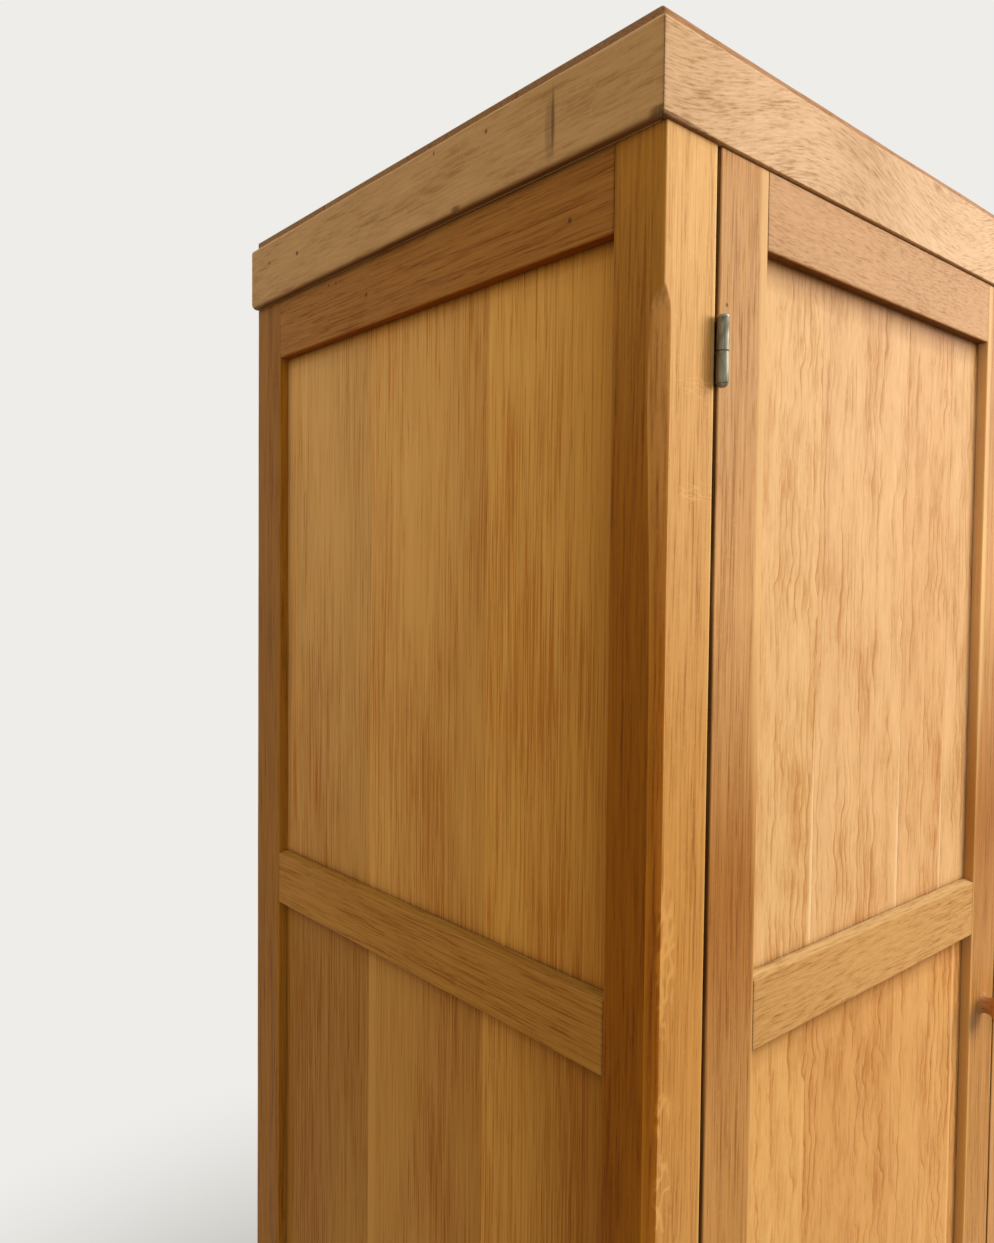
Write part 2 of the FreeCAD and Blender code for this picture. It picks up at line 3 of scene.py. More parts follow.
import bpy
import numpy as np
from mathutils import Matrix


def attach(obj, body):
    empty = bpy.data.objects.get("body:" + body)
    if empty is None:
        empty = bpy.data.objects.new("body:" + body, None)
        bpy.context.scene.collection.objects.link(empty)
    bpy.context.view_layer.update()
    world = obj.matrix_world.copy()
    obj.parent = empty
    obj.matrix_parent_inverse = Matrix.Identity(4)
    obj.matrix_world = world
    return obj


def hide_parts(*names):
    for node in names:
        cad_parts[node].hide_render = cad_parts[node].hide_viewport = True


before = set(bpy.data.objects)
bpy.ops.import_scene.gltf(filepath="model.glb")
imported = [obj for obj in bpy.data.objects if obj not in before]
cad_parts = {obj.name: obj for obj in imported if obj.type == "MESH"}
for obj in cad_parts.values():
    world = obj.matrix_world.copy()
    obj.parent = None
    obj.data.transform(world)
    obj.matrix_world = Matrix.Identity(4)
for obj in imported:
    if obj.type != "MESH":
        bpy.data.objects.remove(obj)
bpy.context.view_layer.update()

letters = "xyz"
mm = 0.001
edgeOrder = [(-1, -1), (1, -1), (1, 1), (-1, 1)]     # a board's long edges, by the sides of its section


def linear(colour):
    # sRGB 0..255, as a colour chooser shows it, to the linear values that shaders take
    c = np.array(colour, float) / 255
    return np.where(c <= 0.04045, c / 12.92, ((c + 0.055) / 1.055) ** 2.4)


def smooth(t):
    # 0 to 1 with level ends: three t squared less two t cubed
    t = np.clip(t, 0, 1)
    return t * t * (3 - 2 * t)


def wander(along, seed, waves=(620.0, 210.0, 83.0, 34.0)):
    # a slow hand-made wobble in -1..1: four sines of those wavelengths in mm, each with its own start
    starts = np.random.default_rng(seed).uniform(0, 2 * math.pi, len(waves))
    weights = np.array([0.4, 0.3, 0.2, 0.1])
    return sum(w * np.sin(2 * math.pi * along / wave + s) for w, wave, s in zip(weights, waves, starts))


def seedOf(name):
    return sum((k + 1) * ord(letter) for k, letter in enumerate(name))


def closedSweep(rings, marks):
    # a tube through the rings (station, point round the ring, xyz), each end closed by folding its ring flat
    m, n = rings.shape[:2]
    row, col = np.meshgrid(np.arange(m - 1), np.arange(n), indexing="ij")
    after = (col + 1) % n
    walls = np.stack([row * n + col, row * n + after, (row + 1) * n + after, (row + 1) * n + col], -1)
    fold = np.arange(n // 2 - 1)
    lid = np.stack([fold, fold + 1, n - 2 - fold, n - 1 - fold], 1)
    faces = np.concatenate([walls.reshape(-1, 4), lid[:, ::-1], lid + (m - 1) * n])
    points = rings.reshape(-1, 3)
    a, b, c, d = (points[faces[:, k]] for k in range(4))
    if np.einsum("ij,ij->", a, np.cross(b, c) + np.cross(c, d)) < 0:     # inside out by its volume
        faces = faces[:, ::-1]
    flat = np.zeros(len(faces), bool)
    flat[-2 * len(lid):] = True
    part = {"points": points, "faces": faces, "flat": flat}
    for key, value in marks.items():
        width = value.shape[-1]
        part[key] = np.broadcast_to(value, (m, n, width)).reshape(-1, width)
    return part


# boards

def edgeSigns(edge, b, c):
    # "-x+z" names the long edge on the low x and high z sides
    return tuple(1 if edge[edge.index(letters[k]) - 1] == "+" else -1 for k in (b, c))


def fromSide(place, span, side):
    # distance inwards from the side that "-x" or "+x" names
    k = letters.index(side[1])
    return place[..., k] - span[k][0] if side[0] == "-" else span[k][1] - place[..., k]


def stationsAlong(low, high, step, ends, chips, chamfer, holeLines):
    # evenly spaced along the board, and close together at its ends, chips, chamfer stops and hole
    nearEnd = np.array([0, 0.08, 0.3, 0.62, 1.0])
    tail = np.array([1.8, 3.5, 7.0, 14.0, 28.0])
    steps = [np.linspace(low, high, max(3, int((high - low) / step) + 1))[1:-1],
             low + nearEnd * ends[0], high - nearEnd * ends[1], low + ends[0] + tail, high - ends[1] - tail]
    steps += [chip["at"] + chip["wide"] * np.linspace(-1.2, 1.2, 33) for chip in chips]
    if chamfer:
        steps += [stop + chamfer["stop"] * np.linspace(-0.1, 1.1, 25)
                  for stop in (chamfer["low"], chamfer["high"] - chamfer["stop"])]
    along = np.unique(np.round(np.concatenate([*steps, holeLines]), 3))
    along = along[(along >= low) & (along <= high)]
    along = along[np.concatenate([[True], np.diff(along) > 0.02])]
    along[-1] = high
    return along


def edgeShape(along, seed, order, size, bulge, wobble, chips, chamfer):
    # One long edge at each station: its size across b and across c, its roundness, how far it is a cut bevel, and
    # how dark it is, from a chip's dark wood and from painted shade in a chamfer's stops. A chip deepens it by a
    # smooth ragged hump; a chamfer runs out at its stops on a parabola.
    wave = 1 + wobble * wander(along, seed + 7 * order)
    sizeB, sizeC = (side * wave for side in (size if isinstance(size, tuple) else (size, size)))
    bulge = np.full(len(along), float(bulge))
    cut, dark = np.zeros(len(along)), np.zeros(len(along))
    for chip in chips:
        ragged = 1 + chip["ragged"] * wander(along, seed + 11, (17.0, 9.0, 5.0, 3.1))
        hollow = smooth(1.2 * (1 - np.abs(along - chip["at"]) / chip["wide"])) * ragged
        sizeB, sizeC = sizeB + chip["deep"] * hollow, sizeC + chip["deep"] * hollow
        bulge = bulge - (bulge - 1.05) * np.clip(hollow, 0, 1)
        dark = np.maximum(dark, chip["dark"] * np.clip(hollow, 0, 1))
    if chamfer:
        q = np.clip(np.minimum(along - chamfer["low"], chamfer["high"] - along) / chamfer["stop"], 0, 1)
        cut = 1 - (1 - q) ** 2
        swell = np.exp(-((along - chamfer["broadAt"]) / chamfer["broadReach"]) ** 2)
        legB, legC = (leg + more * swell + 0.3 * wander(along, seed + 3)
                      for leg, more in zip(chamfer["legs"], chamfer["broad"]))
        sizeB, sizeC = sizeB * (1 - cut) + legB * cut, sizeC * (1 - cut) + legC * cut
        bulge = bulge * (1 - cut) + cut
        # painted shade in the scoop at each stop of the chamfer
        dark = chamfer["stopDark"] * np.where(q > 0, 1 - q, 0)
    return [part[:, None] for part in (sizeB, sizeC, bulge, cut, dark)]


def boardRing(halfB, halfC, shapes, isBevel, holes):
    # Round the section: for each corner a hold point, the arc and a hold point, then points across the flat to
    # the next corner. Gives b, c, wear, dirt with painted shade, and cut, and how far each point faces each of
    # the four sides.
    hold = 0.5
    turn = np.linspace(0, math.pi / 2, 6)
    quarter = np.concatenate([[0], turn / turn[-1], [1]])
    rounded = np.concatenate([[0], np.sin(2 * turn) ** 0.5, [0]])      # rubbed in the middle of a round edge
    arrises = np.concatenate([[0.5], np.abs(np.cos(2 * turn)) ** 6, [0.5]])      # and at both sides of a cut one
    onEdge = np.concatenate([[0], np.ones(len(turn)), [0]])
    broad, apart, clear = 30, 22, 14              # a broad flat has points this far apart, clear of its edges
    besideEdge = np.array([2.0, 4.5, 6.5, 8.5, 10.5, 13.0])
    ringB, ringC, wear, dirt, cutFace = [], [], [], [], []
    facing = [[], [], [], []]
    for k, (sb, sc) in enumerate(edgeOrder):
        sizeB, sizeC, bulge, cut, dark = shapes[k]
        nextB, nextC = shapes[(k + 1) % 4][:2]
        rise, fall = 1 - np.sin(turn) ** (2 / bulge), 1 - np.cos(turn) ** (2 / bulge)

        def arrive(size):
            return np.concatenate([size + hold, size * rise, 0 * size], 1)

        def leave(size):
            return np.concatenate([0 * size, size * fall, size + hold], 1)

        alongB = k % 2 == 0                       # the flat after corners 0 and 2 runs along b
        offB, offC = (leave(sizeB), arrive(sizeC)) if alongB else (arrive(sizeB), leave(sizeC))
        ringB.append(sb * (halfB[:, None] - offB))
        ringC.append(sc * (halfC[:, None] - offC))
        wear.append(rounded * (1 - cut) + arrises * cut)
        dirt.append(onEdge * dark)
        cutFace.append(onEdge * cut)

        startB, startC = ringB[-1][:, -1:], ringC[-1][:, -1:]
        nb, nc = edgeOrder[(k + 1) % 4]
        if alongB:
            half, size, after = halfB, sizeB, nextB
            stopB, stopC = nb * (halfB[:, None] - nextB - hold), nc * halfC[:, None]
        else:
            half, size, after = halfC, sizeC, nextC
            stopB, stopC = nb * halfB[:, None], nc * (halfC[:, None] - nextC - hold)
        wide = 2 * half.mean() - size.mean() - after.mean() - 2 * hold
        if k in holes:
            first, last = (startB, stopB) if alongB else (startC, stopC)
            share = np.sort((holes[k] - first) / (last - first), 1)
        elif wide > broad:
            inner = np.linspace(0, wide, max(2, int(wide / apart)) + 2)[1:-1]
            inner = inner[(inner > clear) & (inner < wide - clear)]
            share = (np.unique(np.concatenate([besideEdge, wide - besideEdge, inner])) / wide)[None, :]
        else:
            share = np.array([[0.5]])
        ringB.append(startB + (stopB - startB) * share)
        ringC.append(startC + (stopC - startC) * share)
        count = share.shape[1]
        for field in (wear, dirt, cutFace):
            field.append(np.zeros((len(halfB), count)))
        for n in range(4):                        # a flat bevel counts as part of both its neighbours
            onArc = quarter if n == k else (1 - quarter if n == (k - 1) % 4 else 0 * quarter)
            onArc = np.clip(5 * onArc, 0, 1) if isBevel[k] else onArc
            facing[n] += [onArc, np.full(count, float(n == k))]
    rings = [np.concatenate(parts, 1) for parts in (ringB, ringC, wear, dirt, cutFace)]
    facing = [np.concatenate(shares) for shares in facing]
    if rings[0].shape[1] % 2:                     # the lids fold an even ring
        rings = [np.concatenate([r, (r[:, -1:] + r[:, :1]) / 2], 1) for r in rings]
        facing = [np.append(share, share[-1]) for share in facing]
    return rings, facing


def sinkHole(place, span, mortise):
    # a square hole in one side: the points inside its outline go in by its depth
    k = letters.index(mortise["side"][1])
    way = 1 if mortise["side"][0] == "-" else -1
    sunk = way * (place[..., k] - sum(span[k]) / 2) < 0
    for letter in mortise["across"]:
        first, last = mortise[letter]
        across = place[..., letters.index(letter)]
        sunk &= (across > first) & (across < last)
    place[..., k] += way * mortise["deep"] * sunk
    return sunk


boardLook = {                  # how a board is coloured and marked, unless its own call says otherwise
    "fade": {}, "shades": (), "tints": {},                # along an axis, round a place, on a side
    "joints": (True, True), "jointWide": (0.7, 0.7),      # which ends have a joint's dirt, and how far it reaches
    "pale": {}, "sooty": {},                              # sapwood along a side, soot and painted shade in a gap
    "crevice": {}, "opening": {},                         # painted shade along a side, and dirt with painted shade round a panel's opening
}


def tintAlong(tint, along):
    # one tint, or two with the stretch over which the first gives way to the second
    if len(tint) == 3:
        return np.array(tint)
    first, second, start, stop = tint
    mix = smooth((along - start) / (stop - start))[:, None, None]
    return np.array(first) * (1 - mix) + np.array(second) * mix


def boardTone(board, colour, look):
    # the wood's own colour times one factor for each fade, shade and tint; many of these paint light and shade
    # onto it
    place, span, along, chamfer = (board[key] for key in ("place", "span", "along", "chamfer"))
    facing, cutFace = board["facing"], board["cutFace"]
    tone = np.ones(place.shape[:2] + (4,))
    tone[..., :3] = linear(colour)
    browner = np.array([1.0, 1.35, 2.2])          # darker wood is browner too
    for letter, amount in look["fade"].items():
        k = letters.index(letter)
        share = (place[..., k] - span[k][0]) / (span[k][1] - span[k][0]) - 0.5
        tone[..., :3] *= np.maximum(1 + amount * share[..., None] * browner, 0.05)
    for axis, centre, reach, tint in look["shades"]:      # a bell curve round its place
        off = (place[..., letters.index(axis)] - centre) / reach
        tone[..., :3] *= 1 + np.exp(-off ** 2)[..., None] * (np.array(tint) - 1)
    for side, tint in look["tints"].items():      # a cut edge between two faces keeps a colour of its own
        share = (smooth((facing[side] - 0.3) / 0.5) * (1 - cutFace))[..., None]
        tone[..., :3] *= 1 - share * (1 - tintAlong(tint, along))
    if chamfer:                                   # the cut darkens softly towards the side that it leads to
        outer = chamfer["edge"][:2]
        own, beside = tintAlong(chamfer["tint"], along), tintAlong(look["tints"][outer], along)
        blend = (chamfer["soften"] * smooth((facing[outer] - 0.2) / 0.7))[:, None]
        tone[..., :3] *= 1 - cutFace[..., None] * (1 - own - (beside - own) * blend)
    return tone


def boardMarks(board, look):
    # what lies over the colour, each from 0 to 1: rubbed wood, dirt with painted shade, and pale sapwood
    place, span, along, chamfer = (board[key] for key in ("place", "span", "along", "chamfer"))
    facing, cutFace, wear, dirt = (board[key] for key in ("facing", "cutFace", "wear", "dirt"))
    gapDeep, fadesOver, jointDirt, rubbedEnd = 8, 25, 0.6, 1.5
    openingDirtAndShade = ((0.55, 1.6), (0.2, 7.0))       # dirt and painted shade round an opening: amount and reach, close by and farther out
    strip = np.zeros(wear.shape)
    for side, (lowWide, highWide, start, stop) in look["pale"].items():      # the width changes over a stretch
        wide = (lowWide + (highWide - lowWide) * smooth((along - start) / (stop - start)))[:, None]
        strip = np.maximum(strip, smooth((1.3 * wide - fromSide(place, span, side)) / (0.6 * wide)))
    if chamfer:                                   # the outer arris of a cut corner is rubbed pale
        uneven = 0.75 + 0.35 * wander(along, board["seed"] + 5)
        rubbed = smooth((chamfer["rubbedBelow"] - along) / 60) * uneven
        outer = smooth((facing[chamfer["edge"][:2]] - 0.6) / 0.35)
        strip = np.maximum(strip, cutFace * outer * rubbed[:, None])
    for side, (amount, lowest) in look["sooty"].items():      # soot and painted shade, thickest at the gap's mouth
        depth = 0.25 + 0.75 * np.exp(-fromSide(place, span, "-y") / gapDeep)
        rising = smooth((place[..., 2] - lowest) / fadesOver)
        dirt = np.maximum(dirt, amount * facing[side] ** 3 * depth * rising)
    # painted shade along a side: under the cornice, and on the hinge leaves in the gap
    for side, (wide, amount) in look["crevice"].items():
        dirt = np.maximum(dirt, amount * np.exp(-fromSide(place, span, side) / wide))
    low, high = span[board["axis"]]
    for isJoint, distance, wide in zip(look["joints"], (along - low, high - along), look["jointWide"]):
        if isJoint:
            dirt = np.maximum(dirt, jointDirt * np.exp(-distance / wide)[:, None])
        else:
            wear = np.maximum(wear, np.clip(1 - distance / rubbedEnd, 0, 1)[:, None])
    for letter, (first, last) in look["opening"].items():
        across = place[..., letters.index(letter)]
        gap = np.maximum(np.minimum(across - first, last - across), 0)
        dirt = np.maximum(dirt, sum(amount * np.exp(-gap / reach) for amount, reach in openingDirtAndShade))
    return np.stack([wear, dirt, strip], -1)


def plank(name, axis, span, colour, edges={}, ease=1.2, ends=(0.8, 0.8), pith=(60, 420), chips=(), chamfer=None,
          mitre=None, mortise=None, swirl=None, wobble=0.25, step=16.0, **changes):
    # A board along one axis: its four long edges are quarter superellipses |p|^n + |q|^n = 1, n = 2 round and
    # n = 1 a flat bevel, whose size wanders along the length; at an end the section shrinks on a quarter circle.
    look = {**boardLook, **changes}
    a = letters.index(axis)
    b, c = (a + 1) % 3, (a + 2) % 3
    span = [sorted(s) for s in span]
    low, high = span[a]
    midB, midC = sum(span[b]) / 2, sum(span[c]) / 2
    seed = seedOf(name)
    wallLines = np.array([-0.5, -0.04, 0.04, 0.5])                 # at each wall of a mortise
    lines = {letter: np.concatenate([wall + wallLines for wall in mortise[letter]])
             for letter in mortise["across"]} if mortise else {}
    along = stationsAlong(low, high, step, ends, chips, chamfer, lines.get(axis, ()))

    inset = sum(e * (1 - np.sqrt(1 - np.clip(1 - d / e, 0, 1) ** 2))
                for e, d in ((ends[0], along - low), (ends[1], high - along)))
    halfB, halfC = ((last - first) / 2 - inset for first, last in (span[b], span[c]))
    given = {edgeSigns(edge, b, c): value for edge, value in edges.items()}
    shapes, isBevel = [], []
    for k, sign in enumerate(edgeOrder):
        size, bulge = given.get(sign, (ease, 2.0))
        isBevel.append(bulge < 1.5)
        ownChips = [chip for chip in chips if edgeSigns(chip["edge"], b, c) == sign]
        ownCut = chamfer if chamfer and edgeSigns(chamfer["edge"], b, c) == sign else None
        shapes.append(edgeShape(along, seed, k, size, bulge, wobble, ownChips, ownCut))
    flats = ["-" + letters[c], "+" + letters[b], "+" + letters[c], "-" + letters[b]]
    holes = {}
    if mortise:
        k = flats.index(mortise["side"])
        holes[k] = lines[letters[b]] - midB if k % 2 == 0 else lines[letters[c]] - midC
    (ringB, ringC, wear, dirt, cutFace), facing = boardRing(halfB, halfC, shapes, isBevel, holes)

    place = np.zeros(ringB.shape + (3,))
    place[..., a] = along[:, None]
    place[..., b] = ringB + midB
    place[..., c] = ringC + midC
    if mortise:
        # painted shade inside the hole
        dirt = np.where(sinkHole(place, span, mortise), 0.5, dirt)
    if mitre:                                     # an end is cut at 45 degrees from the face that it names
        inward = fromSide(place, span, mitre["face"])
        newLow, newHigh = low + inward * mitre["low"], high - inward * mitre["high"]
        place[..., a] = newLow + (place[..., a] - low) / (high - low) * (newHigh - newLow)

    # grain runs along the board, measured from the heart of the tree that it was sawn from
    rng = np.random.default_rng(seed)
    heart = np.array(pith, float) * (1 + 0.2 * rng.uniform(-1, 1, 2))
    grain = np.stack([place[..., b] - midB - heart[0], place[..., c] - midC - heart[1],
                      place[..., a] + rng.uniform(0, 9000)], -1)
    if swirl:                                     # grain that sways along the board, as near a knot
        sway = swirl["deep"] * np.sin(2 * math.pi * (place[..., a] - swirl["from"]) / swirl["wave"])
        grain[..., (b, c).index(letters.index(swirl["axis"]))] -= sway
    board = {"axis": a, "span": span, "along": along, "seed": seed, "chamfer": chamfer, "place": place,
             "facing": dict(zip(flats, facing)), "cutFace": cutFace, "wear": wear, "dirt": dirt}
    return closedSweep(place * mm, {"grain": grain * mm, "tone": boardTone(board, colour, look),
                                    "marks": boardMarks(board, look)})


# turned pieces

def lathe(name, centre, axis, outline, colour=(255, 255, 255), around=48, wear=None):
    # a turned surface: the outline's (radius, distance) pairs carried round the axis through the centre
    a = letters.index(axis[1])
    way = 1 if axis[0] == "+" else -1
    b, c = (a + 1) % 3, (a + 2) % 3
    outline = np.array(outline, float)
    angle = np.linspace(0, 2 * math.pi, around, endpoint=False)
    place = np.zeros((len(outline), around, 3))
    place[..., a] = centre[a] + way * outline[:, 1:2]
    place[..., b] = centre[b] + outline[:, :1] * np.cos(angle)
    place[..., c] = centre[c] + outline[:, :1] * np.sin(angle)
    heart = (35, 60)
    rng = np.random.default_rng(seedOf(name))
    grain = np.stack([place[..., b] - centre[b] - heart[0], place[..., c] - centre[c] - heart[1],
                      place[..., a] + rng.uniform(0, 9000)], -1) * mm
    tone = np.ones(place.shape[:2] + (4,))
    tone[..., :3] = linear(colour)
    marks = np.zeros(place.shape)
    if wear is not None:
        marks[..., 0] = np.array(wear)[:, None]
    return closedSweep(place * mm, {"grain": grain, "tone": tone, "marks": marks})


def smoothOutline(points, per=6):
    # a curve through the points: between two of them, a cubic whose slopes come from the neighbours
    p = np.array(points, float)
    p = np.concatenate([2 * p[:1] - p[1:2], p, 2 * p[-1:] - p[-2:-1]])
    t = np.linspace(0, 1, per, endpoint=False)[None, :, None]
    p0, p1, p2, p3 = (p[k:len(p) - 3 + k, None, :] for k in range(4))
    curve = p1 + 0.5 * t * (p2 - p0 + t * (2 * p0 - 5 * p1 + 4 * p2 - p3 + t * (3 * (p1 - p2) + p3 - p0)))
    return np.concatenate([curve.reshape(-1, 2), p[-2:-1]])


def addObject(name, data):
    made = bpy.data.objects.new(name, data)
    bpy.context.scene.collection.objects.link(made)
    return made


def makePiece(node, parts, finish, body="case", name=None):
    # the parts in one mesh, with their attributes, riding the body in place of a CAD node and named after it
    words = node.split("_")
    name = name or words[0] + "".join(word.title() for word in words[1:])
    count = np.cumsum([0] + [len(part["points"]) for part in parts])
    points = np.concatenate([part["points"] for part in parts])
    faces = np.concatenate([part["faces"] + start for part, start in zip(parts, count)])
    mesh = bpy.data.meshes.new(name)
    mesh.vertices.add(len(points))
    mesh.vertices.foreach_set("co", points.astype(np.float32).ravel())
    mesh.loops.add(faces.size)
    mesh.loops.foreach_set("vertex_index", faces.astype(np.int32).ravel())
    mesh.polygons.add(len(faces))
    mesh.polygons.foreach_set("loop_start", np.arange(0, faces.size, 4, dtype=np.int32))
    mesh.update(calc_edges=True)
    mesh.polygons.foreach_set("use_smooth", ~np.concatenate([part["flat"] for part in parts]))
    for key, kind, field in (("grain", "FLOAT_VECTOR", "vector"), ("tone", "FLOAT_COLOR", "color"),
                             ("marks", "FLOAT_VECTOR", "vector")):
        values = np.concatenate([part[key] for part in parts]).astype(np.float32)
        mesh.attributes.new(key, kind, "POINT").data.foreach_set(field, values.ravel())
    mesh.validate()
    mesh.materials.append(finish)
    piece = addObject(name, mesh)
    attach(piece, body)
    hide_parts(node)


# shader nodes

def put(tree, kind, inputs, **settings):
    made = tree.nodes.new("ShaderNode" + kind)
    for key, value in settings.items():
        setattr(made, key, value)
    for key, value in inputs.items():
        if isinstance(value, bpy.types.NodeSocket):
            tree.links.new(value, made.inputs[key])
        else:
            made.inputs[key].default_value = value
    return made


def calc(tree, operation, *values, clamp=False):
    return put(tree, "Math", dict(enumerate(values)), operation=operation, use_clamp=clamp).outputs[0]


def vectorCalc(tree, operation, *values):
    made = put(tree, "VectorMath", dict(enumerate(values)), operation=operation)
    return made.outputs["Value" if operation == "LENGTH" else "Vector"]


def blended(tree, factor, first, second, kind="MIX"):
    return put(tree, "Mix", {0: factor, 6: first, 7: second}, data_type="RGBA", blend_type=kind).outputs[2]


def tinted(tree, factor, colour, base, tint):
    # the colour giving way to the base times the tint
    return blended(tree, factor, colour, blended(tree, 1.0, base, (*tint, 1), "MULTIPLY"))


def spread(tree, value, low, high, toLow=0.0, toHigh=1.0):
    return put(tree, "MapRange", {0: value, 1: low, 2: high, 3: toLow, 4: toHigh},
               interpolation_type="SMOOTHSTEP").outputs[0]


def noiseAt(tree, place, scale, detail=2.0, roughness=0.5, colour=False):
    stretched = vectorCalc(tree, "MULTIPLY", place, scale)
    made = put(tree, "TexNoise", {"Vector": stretched, "Scale": 1.0, "Detail": detail, "Roughness": roughness})
    return made.outputs["Color" if colour else 0]


def attributeOf(tree, name, output="Vector"):
    return put(tree, "Attribute", {}, attribute_name=name).outputs[output]


def split(tree, vector):
    return put(tree, "SeparateXYZ", {0: vector}).outputs


def farFrom(tree, place, centre, reach):
    # 0 at the centre of an ellipsoid with those half-sizes, 1 on its skin; both in mm
    inverse = tuple(1 / (r * mm) for r in reach)
    off = vectorCalc(tree, "SUBTRACT", place, tuple(c * mm for c in centre))
    return vectorCalc(tree, "LENGTH", vectorCalc(tree, "MULTIPLY", off, inverse))


def newFinish(name):
    finish = bpy.data.materials.new(name)
    finish.use_nodes = True
    tree = finish.node_tree
    tree.nodes.clear()
    shader = put(tree, "BsdfPrincipled", {})
    put(tree, "OutputMaterial", {"Surface": shader.outputs[0]})
    return finish, tree, shader


oakLook = {                    # sizes in mm, across and along the grain
    "ringWidth": 3.0, "ring": 0.6, "broken": 0.3,
    "drift": 5.0, "driftSize": (200.0, 1000 / 1.3), "wiggle": 0.5, "wiggleSize": (42.0, 36.0),
    "streak": 1.2, "streakSize": (2.6, 90.0),
    "pore": 0.8, "poreSize": (1.4, 22.0),
    "mottle": 0.7, "mottleSize": (70.0, 260.0),
    "fleck": 0.2, "fleckSize": (6.0, 4.5),
    "darkTint": (0.62, 0.50, 0.34), "paleTint": (1.16, 1.2, 1.28),
    # the soot colour is also the colour of painted shade in gaps and recesses
    "wornTint": (1.2, 1.26, 1.34), "soot": (0.055, 0.026, 0.01),
    "sapTint": (1.22, 1.3, 1.42), "rayTint": (1.3, 1.48, 1.8),
    "roughness": 0.47, "specular": 0.07, "bump": 0.3, "bumpDeep": 0.25,
    "spots": (), "rays": (),
}


